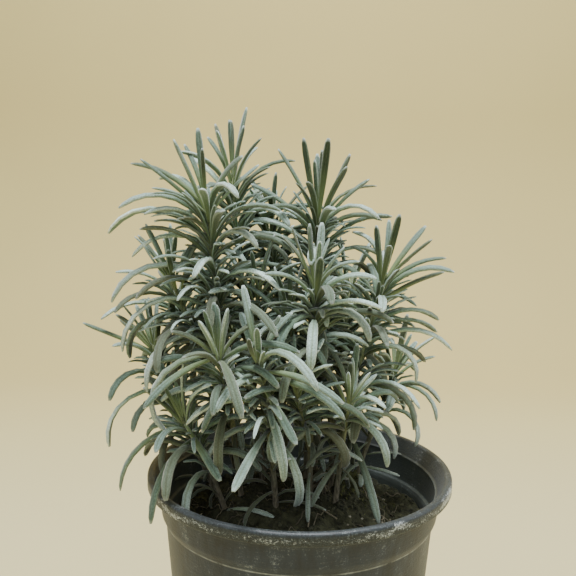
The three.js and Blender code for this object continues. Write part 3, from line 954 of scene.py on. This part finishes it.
def cushion_moss(settings):
    """Cushion moss, grown on the damp side: soft olive with bright tips."""
    return tinted("moss, living", srgb("#464a2b"), settings.moss, 0.8, 0.05, 0.85)


# ---- Leafy stems ----

ROOT_DEPTH_Z = 77
STEM_FOOT_RADIUS = 1.6
STEM_TIP_RADIUS = 0.8
STEM_CORNERS = 8
STEM_PIECES = 30
STEM_ROUNDNESS = 0.78  # a rounded square is this much narrower than its solid's corners
SWELLINGS = 5
SWELLING = 0.12  # as a share of the stem's radius
CHORDS = 200  # that a shoot's length is measured along
BARK_TOP = 98  # the bark turns green between these heights
GREEN_FROM = 135

# The shape of a leaf, along it from 0 to 1.
LEAF_WIDTH = 3.6
WAIST = 0.4  # width of a leaf's foot, as a share of its full width
WIDEST = 0.65  # the leaf reaches its full width here
BLUNT_FROM = 0.82
TIP_WIDTH = 0.36
LONG_LEAF = 20  # mm, from here on a leaf has more stations
MIDLINE_PIECES = 20

# The growth rule, as in the part's source: pairs sit ever further apart below the tip, and their
# rise and curl, in degrees, go from the youngest leaf's to the oldest's. Each leaf strays from
# that by its spread to either side.
PAIR_FIRST = 1
PAIR_STEP = 2.7
PAIR_STEP_GROWTH = 0.25
GROWING_PAIRS = 3
YOUNG_LENGTH = 0.7  # of the first pair, as a share of the full length
YOUNG_BREADTH = 0.6  # and its width
RISE = (82, 32)
CURL = (5, 150)
TURN_SPREAD = 14
RISE_SPREAD = 8
CURL_SPREAD = 28
SWAY_SPREAD = 24
LENGTH_SPREAD = 0.16
WIDTH_SPREAD = 0.06
AGE_POWER = 0.62
BARE_SHARE = 0.86  # no leaf grows further down its shoot than this
ROOT_START = 0.4  # a leaf starts this share of the stem's radius away from its axis
CURL_POWER = 1.2
UPRIGHT_PULL = 0.35  # how far a leaf's axis turns from its shoot's to upright

# What the fine leaves add to that.
TIP_MATCH = 0.2  # mm between a fine leaf's tip and the solid leaf's tip
TWIST = math.radians(26)  # of a leaf from foot to tip
YOUNG_WIDTH = 0.82  # the width of a young leaf, as a share of the solid leaf's
OLD_STRETCH = 0.06  # an old leaf is this much longer than its solid one
OLD_CURL = 160  # degrees of curl, from where on a key leaf looks old
ARCHED = 80  # degrees of curl, from where on a key leaf's own tone is drawn from the white end, as painted light on its lit crest
# The own tones of arched key leaves, whitened as painted light on their lit crests.
CREST_LIGHT_TONES = (0.7, 1)
GREEN_TONES = (0.2, 0.6)  # of the straighter key leaves, which get no painted light
AXILS_BELOW = 10  # mm below a shoot's tip; the forks above still hold no leaves
GOLDEN_ANGLE = 137.5
OLD_SHARE = 0.8  # old leaves hang no further down their shoot than this

# Each row is one leafy stem, as in the part's source: its first shoot's foot in the root ball or
# the share of the first shoot where a side shoot leaves it, the curve's bend and tip, the number of
# leaf pairs, the leaf length, the topmost pair's turn and the seed. A key leaf that stands out is
# [distance below the tip, compass turn, rise, curl, length].
STEMS = [
    ("stem_left_tall", [
        dict(
            foot=(-21, -3), bend=(-29, -5, 140), tip=(-36, -8, 209),
            pairs=12, leaf=36, spin=100, seed=11,
            key=[
                (4, 125, 85, 0, 32), (4, 175, 82, 5, 30), (4, 185, 70, 10, 35), (2, 160, 52, 50, 37),
                (6, 150, 70, 95, 36), (9, 195, 62, 105, 39), (3, 15, 85, 45, 25), (7, 305, 85, 145, 33),
                (15, 175, 60, 120, 48), (15, 170, 30, 85, 35), (21, 325, 80, 155, 31),
                (31, 190, 50, 125, 48), (31, 325, 45, 100, 34), (41, 200, 45, 140, 50),
                (40, 305, 30, 80, 44), (55, 195, 45, 155, 48),
            ],
        ),
        dict(
            share=0.28, bend=(-24, -22, 132), tip=(-30, -31, 158),
            pairs=8, leaf=31, spin=80, seed=12,
            key=[(1, 195, 15, 150, 46), (2, 190, 0, 50, 32), (4, 285, 30, 80, 40), (4, 350, 40, 80, 32)],
        ),
        dict(
            share=0.56, bend=(-42, -8, 158), tip=(-49, -8, 180),
            pairs=7, leaf=32, spin=20, seed=13, key=[],
        ),
    ]),
    ("stem_right", [
        dict(
            foot=(9, 1), bend=(17, 0, 125), tip=(32, 0, 184),
            pairs=12, leaf=34, spin=85, seed=21,
            key=[
                (4, 280, 85, 10, 27), (5, 235, 70, 5, 24), (5, 200, 85, 105, 28), (5, 30, 65, 15, 29),
                (7, 15, 68, 55, 30), (12, 8, 45, 25, 29), (23, 25, 36, 75, 34), (27, 5, 42, 90, 38),
                (30, 350, 40, 145, 31), (36, 185, 56, 140, 36), (48, 320, 55, 110, 36),
                (60, 298, -28, 25, 42),
            ],
        ),
    ]),
    ("stem_middle_tall", [
        dict(
            foot=(2, 6), bend=(4, 7, 150), tip=(6, 10, 206),
            pairs=13, leaf=34, spin=95, seed=31,
            key=[
                (4, 290, 80, 5, 32), (5, 165, 65, 15, 33), (5, 355, 70, 5, 29), (6, 220, 75, 0, 34),
                (6, 260, 84, 20, 32), (9, 10, 60, 30, 29), (11, 355, 80, 125, 33), (12, 175, 52, 35, 34),
                (24, 180, 55, 90, 36), (26, 10, 50, 95, 34),
            ],
        ),
        dict(
            share=0.3, bend=(-2, -2, 140), tip=(-5, -10, 166),
            pairs=7, leaf=32, spin=40, seed=32, key=[],
        ),
    ]),
    ("stem_front_middle", [
        dict(
            foot=(4, -9), bend=(4, -13, 145), tip=(5, -18, 180),
            pairs=9, leaf=32, spin=10, seed=41,
            key=[(7, 275, 60, 10, 22), (22, 325, 78, 158, 33), (20, 200, 55, 120, 33)],
        ),
        dict(
            share=0.3, bend=(1, -20, 128), tip=(-2, -27, 146),
            pairs=6, leaf=31, spin=50, seed=42, key=[],
        ),
    ]),
    ("stem_front_left", [
        dict(
            foot=(-8, -12), bend=(-10, -20, 125), tip=(-15, -33, 155),
            pairs=9, leaf=34, spin=120, seed=51,
            key=[
                (2, 320, 58, 120, 40), (2, 10, 52, 140, 30), (2, 170, 32, 85, 25), (3, 190, 5, 65, 31),
                (5, 310, 18, 52, 36), (8, 300, 5, 65, 34), (12, 290, -5, 10, 33), (33, 260, 14, 15, 50),
            ],
        ),
    ]),
    ("stem_low_left", [
        dict(
            foot=(-26, -8), bend=(-31, -14, 106), tip=(-44, -22, 131),
            pairs=7, leaf=33, spin=60, seed=61,
            key=[(3, 295, -22, 5, 30), (3, 182, 0, 74, 41), (10, 235, 5, 74, 37)],
        ),
    ]),
    ("stem_far_left", [
        dict(
            foot=(-28, 5), bend=(-45, 5, 115), tip=(-60, 6, 152),
            pairs=9, leaf=31, spin=40, seed=71,
            key=[(3, 186, 38, 2, 30), (3, 165, 44, 20, 22), (20, 200, 24, 120, 39)],
        ),
    ]),
    ("stem_back_left_tall", [
        dict(
            foot=(-13, 8), bend=(-22, 12, 150), tip=(-29, 18, 218),
            pairs=12, leaf=35, spin=60, seed=81,
            key=[(3, 20, 82, 12, 32), (24, 0, 44, 70, 40), (30, 10, 34, 70, 38)],
        ),
        dict(
            share=0.4, bend=(-19, 3, 145), tip=(-17, -3, 178),
            pairs=6, leaf=32, spin=35, seed=82, key=[],
        ),
    ]),
    ("stem_upper_left", [
        dict(
            foot=(-19, 11), bend=(-38, 14, 132), tip=(-54, 18, 176),
            pairs=10, leaf=33, spin=30, seed=91, key=[],
        ),
    ]),
    ("stem_back_middle", [
        dict(
            foot=(-4, 15), bend=(-8, 20, 150), tip=(-14, 28, 196),
            pairs=11, leaf=33, spin=15, seed=101, key=[],
        ),
    ]),
    ("stem_back_right", [
        dict(
            foot=(12, 10), bend=(14, 16, 130), tip=(20, 26, 172),
            pairs=9, leaf=33, spin=50, seed=111, key=[],
        ),
    ]),
    ("stem_low_right", [
        dict(
            foot=(17, 6), bend=(28, 12, 112), tip=(40, 22, 140),
            pairs=7, leaf=30, spin=70, seed=121, key=[(8, 350, 24, 110, 28)],
        ),
    ]),
    ("stem_back_low_left", [
        dict(
            foot=(-12, 21), bend=(-20, 34, 118), tip=(-34, 44, 160),
            pairs=8, leaf=33, spin=20, seed=131, key=[],
        ),
    ]),
    ("stem_back_low_right", [
        dict(
            foot=(5, 21), bend=(9, 34, 118), tip=(14, 45, 160),
            pairs=8, leaf=33, spin=75, seed=141, key=[],
        ),
    ]),
    ("stem_front_right", [
        dict(
            foot=(13, -9), bend=(15, -16, 115), tip=(18, -24, 140),
            pairs=5, leaf=28, spin=35, seed=151, key=[],
        ),
    ]),
]

# The ways that a leaf can turn aside: [compass turn, rise, share of its length].
TURNS = [
    (0, 0, 1), (13, 0, 1), (-13, 0, 1), (0, 11, 1), (0, -11, 1), (24, 6, 1), (-24, 6, 1), (24, -10, 1),
    (-24, -10, 1), (40, 0, 1), (-40, 0, 1), (0, 20, 0.9), (0, -22, 0.9), (56, 5, 1), (-56, 5, 1),
    (18, 0, 0.75), (-18, 0, 0.75), (0, 8, 0.6), (40, -25, 0.9), (-40, -25, 0.9), (75, 10, 0.8),
    (-75, 10, 0.8),
]

# A leaf's section, from the groove on top round to the midrib below and back: share of the half
# width, and height in millimetres.
LEAF_SECTION = [
    (0, 0.44), (0.55, 0.64), (1.0, -0.25), (0.72, -1.05),
    (0, -0.5), (-0.72, -1.05), (-1.0, -0.25), (-0.55, 0.64),
]
LONG_STATIONS = (0, 0.13, 0.28, 0.43, 0.58, 0.72, 0.84, 0.94, 1)
SHORT_STATIONS = (0, 0.25, 0.6, 0.9, 1)

# One leaf as it wants to grow. stretch is its length as a share of the solid's, and tones the
# range that its own tone is drawn from.
Leaf = namedtuple(
    "Leaf", "down turn rise curl reach sway width age stretch tones",
    defaults=(0.0, LEAF_WIDTH, 0.5, 1.0, (0, 1)),
)


def compass(degrees):
    """Level direction of a compass turn from +X."""
    angle = math.radians(degrees)
    return Vector((math.cos(angle), math.sin(angle), 0))


def seeded(seed):
    """Endless numbers from 0 to 1, the same as in the part's source."""
    state = seed
    while True:
        state = (state * 1664525 + 1013904223) % 2 ** 32
        yield state / 2 ** 32


class StemLine:
    """The smooth curve of one shoot, from its foot towards its bend and on to its tip."""

    def __init__(self, shoot, parent):
        self.is_side = "share" in shoot
        if self.is_side:
            self.foot = parent.at(shoot["share"])
        else:
            self.foot = Vector((*shoot["foot"], ROOT_DEPTH_Z))
        self.bend = Vector(shoot["bend"])
        self.tip = Vector(shoot["tip"])
        chords = [self.at(i / CHORDS) for i in range(CHORDS + 1)]
        self.length = sum((b - a).length for a, b in zip(chords, chords[1:]))

    def at(self, share):
        rest = 1 - share
        return self.foot * rest ** 2 + self.bend * (2 * rest * share) + self.tip * share ** 2

    def tangent(self, share):
        slope = (self.bend - self.foot) * (1 - share) + (self.tip - self.bend) * share
        return slope.normalized()

    def radius(self, share):
        foot = (STEM_FOOT_RADIUS + STEM_TIP_RADIUS) / 2 if self.is_side else STEM_FOOT_RADIUS
        return foot + (STEM_TIP_RADIUS - foot) * share


def pair_place(pair):
    """How far below its shoot's tip a leaf pair sits."""
    return PAIR_FIRST + PAIR_STEP * pair + PAIR_STEP_GROWTH * pair ** 2


def leaves_of(shoot, line):
    """The leaves of one shoot, drawn in the same order as in the part's source."""
    numbers = seeded(shoot["seed"])

    def spread(reach):
        return (next(numbers) * 2 - 1) * reach

    oldest = pair_place(shoot["pairs"])
    # Arched key leaves take their own tone from the white end, as painted light on their lit crests.
    leaves = [
        Leaf(
            down, turn, rise, curl, reach, age=min(1, max(down / oldest, curl / OLD_CURL)),
            tones=CREST_LIGHT_TONES if curl > ARCHED else GREEN_TONES,
        )
        for down, turn, rise, curl, reach in shoot["key"]
    ]
    for pair in range(shoot["pairs"]):
        age = (pair / (shoot["pairs"] - 1)) ** AGE_POWER
        size = min(1, pair / GROWING_PAIRS)
        grown = YOUNG_LENGTH + (1 - YOUNG_LENGTH) * size
        broad = YOUNG_BREADTH + (1 - YOUNG_BREADTH) * size
        for opposite in (0, 180):
            leaves.append(Leaf(
                down=pair_place(pair),
                turn=shoot["spin"] + 90 * pair + opposite + spread(TURN_SPREAD),
                rise=RISE[0] + (RISE[1] - RISE[0]) * age + spread(RISE_SPREAD),
                curl=CURL[0] + (CURL[1] - CURL[0]) * age + spread(CURL_SPREAD),
                reach=shoot["leaf"] * grown * (0.95 + spread(LENGTH_SPREAD)),
                sway=spread(SWAY_SPREAD),
                width=LEAF_WIDTH * broad * (1 + spread(WIDTH_SPREAD)),
                age=age,
                stretch=1 + OLD_STRETCH * age,
            ))
    return [leaf for leaf in leaves if leaf.down < BARE_SHARE * line.length]


def leaf_midline(line, leaf, way=(0, 0, 1)):
    """Points along a leaf, each with the leaf's side and upper directions there."""
    turn, lift, share = way
    at = 1 - leaf.down / line.length
    axis = line.tangent(at).lerp(UP, UPRIGHT_PULL).normalized()
    out = compass(leaf.turn + turn)
    out = (out - axis * out.dot(axis)).normalized()
    across = axis.cross(out)
    step = leaf.reach * share / MIDLINE_PIECES
    position = line.at(at) + out * (ROOT_START * line.radius(at))
    points = []
    for i in range(MIDLINE_PIECES + 1):
        s = i / MIDLINE_PIECES
        rise = math.radians(leaf.rise + lift - leaf.curl * s ** CURL_POWER)
        sway = math.radians(leaf.sway * s)
        outward = out * math.cos(sway) + across * math.sin(sway)
        heading = axis * math.sin(rise) + outward * math.cos(rise)
        side = outward.cross(axis).normalized()
        upper = side.cross(heading).normalized()
        points.append((position.copy(), side, upper))
        position += heading * step
    return points


def leaf_form(s):
    """Shares of a leaf's full width and thickness: a narrow foot that widens, and a blunt tip."""
    grown = min(1, s / WIDEST)
    widened = WAIST + (1 - WAIST) * grown * grown * (3 - 2 * grown)
    past = max(0, (s - BLUNT_FROM) / (1 - BLUNT_FROM))
    blunt = max(TIP_WIDTH, math.sqrt(max(0.0, 1 - past ** 2.4)))
    return widened * blunt, min(1, 0.5 + 2 * s) * blunt


def press_leaf(bm, templates, leaf, midline, tint, twist=0.0):
    """One fine leaf along its midline."""
    is_long = leaf.reach > LONG_LEAF
    width = leaf.width * (YOUNG_WIDTH + (1 - YOUNG_WIDTH) * leaf.age)
    thickness = width / LEAF_WIDTH
    rings = []
    for s in LONG_STATIONS if is_long else SHORT_STATIONS:
        exact = s * MIDLINE_PIECES
        low = min(MIDLINE_PIECES - 1, int(exact))
        pairs = zip(midline[low], midline[low + 1])
        position, side, upper = (a.lerp(b, exact - low) for a, b in pairs)
        side.normalize()
        upper.normalize()
        turn = Matrix.Rotation(twist * s, 3, upper.cross(side))
        side = turn @ side
        upper = turn @ upper
        wide, full = leaf_form(s)
        half = width / 2 * wide
        rings.append([
            position - side * (aside * half) + upper * (above * full * thickness)
            for aside, above in LEAF_SECTION
        ])
    press(bm, templates["long" if is_long else "short"], rings, tint, leaf.age)


def grown_midline(tips, line, leaf):
    """The leaf's midline the way that it grew in the solid, or None where it found no room."""
    for turn, lift, share in TURNS:
        tip = leaf_midline(line, leaf, (turn, lift, share))[-1][0]
        if tips.find(tip)[2] < TIP_MATCH:
            return leaf_midline(line, leaf, (turn, lift, share * leaf.stretch))
    return None


def axil_leaves(rng, leaf, count):
    """Small leaves in the fork between a grown leaf and its stem."""
    small = []
    for _ in range(count):
        size = rng.uniform(0.35, 0.75)
        small.append(Leaf(
            down=leaf.down - 0.4,
            turn=leaf.turn + rng.uniform(-55, 55),
            rise=rng.uniform(50, 84),
            curl=rng.uniform(10, 50) + 70 * leaf.age,
            reach=leaf.reach * size,
            sway=rng.uniform(-20, 20),
            width=LEAF_WIDTH * rng.uniform(0.45, 0.65),
            age=0.2 + 0.45 * leaf.age,
        ))
    return small


def tip_leaves(rng, shoot, count):
    """Thin upright young leaves that fill the tuft at the tip of a shoot, fewer where key leaves
    fill it already. Each stands a golden angle further round."""
    leaves = []
    fewer = 2 if "share" in shoot else len(shoot["key"]) // 3
    for i in range(max(1, count - fewer)):
        rise = rng.uniform(64, 87)
        leaves.append(Leaf(
            down=rng.uniform(1, 7),
            turn=shoot["spin"] + GOLDEN_ANGLE * i + rng.uniform(-25, 25),
            rise=rise,
            curl=rng.uniform(-5, 25) + (87 - rise),
            reach=shoot["leaf"] * rng.uniform(0.6, 0.92),
            sway=rng.uniform(-14, 14),
            width=LEAF_WIDTH * rng.uniform(0.72, 0.95),
            age=0.05,
        ))
    return leaves


def old_leaves(rng, shoot, line):
    """Small tired leaves that still hang on the bare foot of a shoot."""
    leaves = []
    down = pair_place(shoot["pairs"])
    while down < OLD_SHARE * line.length:
        leaves.append(Leaf(
            down=down,
            turn=rng.uniform(0, 360),
            rise=rng.uniform(-30, 55),
            curl=rng.uniform(10, 120),
            reach=rng.uniform(10, 24),
            sway=rng.uniform(-20, 20),
            width=LEAF_WIDTH * rng.uniform(0.4, 0.75),
            age=1.0,
        ))
        down += rng.uniform(1.5, 5)
    return leaves


class LAVENDER_OT_leafy_stems(bpy.types.Operator):
    """Grow the fine leafy stems, each in the place of its solid one"""

    bl_idname = "lavender.leafy_stems"
    bl_label = "Leafy stems"

    def execute(self, context):
        settings = context.scene.lavender_plant
        templates = {
            "long": tube_template(len(LEAF_SECTION), len(LONG_STATIONS) - 1),
            "short": tube_template(len(LEAF_SECTION), len(SHORT_STATIONS) - 1),
            "stem": tube_template(STEM_CORNERS, STEM_PIECES, material_index=1),
        }
        materials = [felted_leaf(settings), lavender_bark(settings)]
        for name, shoots in STEMS:
            self.make_stem(name, shoots, templates, materials, settings)
        return {"FINISHED"}

    def make_stem(self, name, shoots, templates, materials, settings):
        bm = tinted_bmesh("tint", "age")
        bm.loops.layers.uv.new("UVMap")
        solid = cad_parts[name].data.vertices
        tips = kdtree.KDTree(len(solid))
        for vert in solid:
            tips.insert(vert.co / MM, vert.index)
        tips.balance()
        parent = None
        for shoot in shoots:
            line = StemLine(shoot, parent)
            parent = parent or line
            rng = random.Random(shoot["seed"])
            self.press_stem(bm, templates["stem"], line, shoot["spin"])
            for leaf in leaves_of(shoot, line):
                midline = grown_midline(tips, line, leaf)
                if midline is None:
                    continue
                low, high = leaf.tones
                tint = low + (high - low) * rng.random()
                press_leaf(bm, templates, leaf, midline, tint, rng.uniform(-TWIST, TWIST))
                if leaf.down > AXILS_BELOW:
                    for small in axil_leaves(rng, leaf, settings.axil_leaves):
                        press_leaf(bm, templates, small, leaf_midline(line, small), rng.random())
            for leaf in tip_leaves(rng, shoot, settings.tip_leaves) + old_leaves(rng, shoot, line):
                press_leaf(bm, templates, leaf, leaf_midline(line, leaf), rng.random())
        finish_piece(name.replace("stem", "leafy_stem"), bm, materials, [name])

    def press_stem(self, bm, template, line, spin):
        """A square stem with rounded edges, with a few slight swellings along it."""
        rings = []
        for i in range(STEM_PIECES + 1):
            share = i / STEM_PIECES
            tangent = line.tangent(share)
            side = compass(spin)
            side = (side - tangent * side.dot(tangent)).normalized()
            swelling = 1 + SWELLING * math.sin(SWELLINGS * math.pi * share) ** 8
            rings.append(ring_round(
                line.at(share), side, tangent.cross(side),
                line.radius(share) * STEM_ROUNDNESS * swelling, STEM_CORNERS, offset=0.5,
            ))
        press(bm, template, rings)


def felted_leaf(settings):
    """Lavender leaf, grown: a green blade under felt of branched white hairs. The felt is silvery on
    top, thickest on the rolled margins and the tip, and thin in the channels underneath. Painted light
    also whitens the top, the blade towards its tip and the arched key leaves. Painted shade darkens the
    underside, the channel between the margins, the foot of the blade and the old leaves."""
    material, tree, place = new_material("lavender leaf, felted")
    uv = add_node(tree, "UVMap", uv_map="UVMap")
    axes = add_node(tree, "SeparateXYZ", {"Vector": uv})
    along = axes.outputs["Y"]
    tint = add_node(tree, "Attribute", attribute_name="tint").outputs["Fac"]
    age = add_node(tree, "Attribute", attribute_name="age").outputs["Fac"]
    # The hairs are 0.1 to 0.3 mm long. Their mottle is drawn 0.5 mm wide, to show at this size.
    tufts = add_node(
        tree, "TexNoise",
        {"Vector": place, "Scale": 1 / (0.5 * MM), "Detail": 4.0, "Roughness": 0.7},
    )

    # Round the section: 0 is the groove on top, 0.5 the margin, 0.75 its rolled edge, 1 the midrib.
    around = axes.outputs["X"]
    for operation, value in [("SUBTRACT", 0.5), ("ABSOLUTE", 0.0), ("MULTIPLY", 2.0)]:
        around = add_node(tree, "Math", {0: around, 1: value}, operation=operation)
    # The pale felt on top is partly painted light. The darker green of the channel underneath is partly
    # painted shade, of the underside and of the recess between the rolled margins.
    blade = add_node(
        tree, "ValToRGB", {"Fac": around},
        stops=[
            (0.0, srgb("#8b9886")), (0.14, settings.felt), (0.36, settings.felt),
            (0.5, settings.margin), (0.7, settings.margin), (0.82, settings.channel),
            (0.94, settings.channel), (1.0, srgb("#9fa994")),
        ],
    )
    # Tones that the blade is multiplied by. The mottle comes first. Next is painted shade that darkens
    # and greens the blade towards its foot, deep in the plant, and painted light that whitens it towards
    # the lit tip; part of this is felt that is thinner towards the foot. Last is the leaf's own tone,
    # from greener through a brown flush to white, where arched key leaves take the white end as painted
    # light on their crests.
    for source, stops in [
        (tufts, [(0.35, grey(0.52)), (0.65, grey(1.2))]),
        (along, [(0.0, srgb("#9aa88f")), (0.3, srgb("#bac6b2")), (0.65, srgb("#ffffff"))]),
        (tint, [
            (0.0, srgb("#79856f")), (0.16, srgb("#95937c")), (0.3, srgb("#87937f")),
            (0.6, srgb("#b2bdb0")), (1.0, (1.24, 1.3, 1.22, 1.0)),
        ]),
    ]:
        tone = add_node(tree, "ValToRGB", {"Fac": source}, stops=stops)
        blade = add_node(
            tree, "Mix", zip(MIX, (1.0, blade, tone)), data_type="RGBA", blend_type="MULTIPLY"
        )

    foot = add_node(tree, "ValToRGB", {"Fac": along}, stops=[(0.1, grey(0.95)), (0.6, grey(0))])
    youth = add_node(tree, "ValToRGB", {"Fac": age}, stops=[(0.15, grey(1)), (0.6, grey(0.12))])
    fresh = add_node(tree, "Math", {0: foot, 1: youth}, operation="MULTIPLY")
    tired_and_shaded = add_node(tree, "MapRange", zip(RANGE, (age, 0.7, 1.1, 0, 0.45)))
    point = add_node(tree, "ValToRGB", {"Fac": along}, stops=[(0.9, grey(0)), (1.0, grey(0.4))])
    # The yellow-green foot of a young leaf comes first. The dull blade of an old one follows, partly its
    # own colour and partly painted shade, as old leaves sit low and deep in the plant. Last is the
    # felted point.
    for share, over in [(fresh, settings.young), (tired_and_shaded, settings.old), (point, settings.margin)]:
        blade = add_node(tree, "Mix", zip(MIX, (share, blade, over)), data_type="RGBA")
    shade(
        tree, blade, tufts, 0.12, roughness=0.85, specular_ior_level=0.25, sheen_weight=0.35,
        sheen_roughness=0.45,
    )
    return material


def lavender_bark(settings):
    """Lavender stem, grown: woody, brown and fissured at its foot, green and downy above."""
    material, tree, place = new_material("lavender stem, woody foot")
    fissures = add_node(tree, "Mapping", {"Vector": place, "Scale": (1.0, 1.0, 0.18)})
    fibre = add_node(
        tree, "TexNoise", {"Vector": fissures, "Scale": 1 / (0.7 * MM), "Detail": 4.0}
    )
    tones = []
    for dark, light in [
        (srgb("#57513f"), settings.bark),  # woody
        (srgb("#5d6640"), srgb("#8b9469")),  # green
    ]:
        tones.append(add_node(tree, "ValToRGB", {"Fac": fibre}, stops=[(0.35, dark), (0.65, light)]))
    axes = add_node(tree, "SeparateXYZ", {"Vector": place})
    height = add_node(
        tree, "MapRange", zip(RANGE, (axes.outputs["Z"], BARK_TOP * MM, GREEN_FROM * MM))
    )
    mixed = add_node(tree, "Mix", zip(MIX, (height, *tones)), data_type="RGBA")
    shade(tree, mixed, fibre, 0.3, roughness=0.85, sheen_weight=0.1)
    return material


# ---- Add-on ----


class VIEW3D_PT_lavender(bpy.types.Panel):
    """The steps that make the potted lavender"""

    bl_label = "Potted lavender"
    bl_space_type = "VIEW_3D"
    bl_region_type = "UI"
    bl_category = "Lavender"

    def draw(self, context):
        for operator in OPERATORS:
            self.layout.operator(operator.bl_idname)
        for name in SETTINGS:
            group = getattr(context.scene, name)
            box = self.layout.box()
            for setting in group.bl_rna.properties:
                if not setting.is_readonly and setting.identifier != "name":
                    box.prop(group, setting.identifier)


SETTINGS = {
    "lavender_stage": StageSettings,
    "lavender_pot": PotSettings,
    "lavender_soil": SoilSettings,
    "lavender_plant": PlantSettings,
}
OPERATORS = [
    LAVENDER_OT_stage, LAVENDER_OT_pot, LAVENDER_OT_soil, LAVENDER_OT_soil_cover,
    LAVENDER_OT_leafy_stems,
]
CLASSES = [*SETTINGS.values(), *OPERATORS, VIEW3D_PT_lavender]


def register():
    for kind in CLASSES:
        bpy.utils.register_class(kind)
    for name, group in SETTINGS.items():
        setattr(bpy.types.Scene, name, PointerProperty(type=group))


def unregister():
    for name in SETTINGS:
        delattr(bpy.types.Scene, name)
    for kind in reversed(CLASSES):
        bpy.utils.unregister_class(kind)


def main():
    register()
    bpy.ops.lavender.stage()
    bpy.ops.lavender.pot()
    bpy.ops.lavender.soil()
    bpy.ops.lavender.soil_cover()
    bpy.ops.lavender.leafy_stems()


if __name__ == "__main__":
    main()
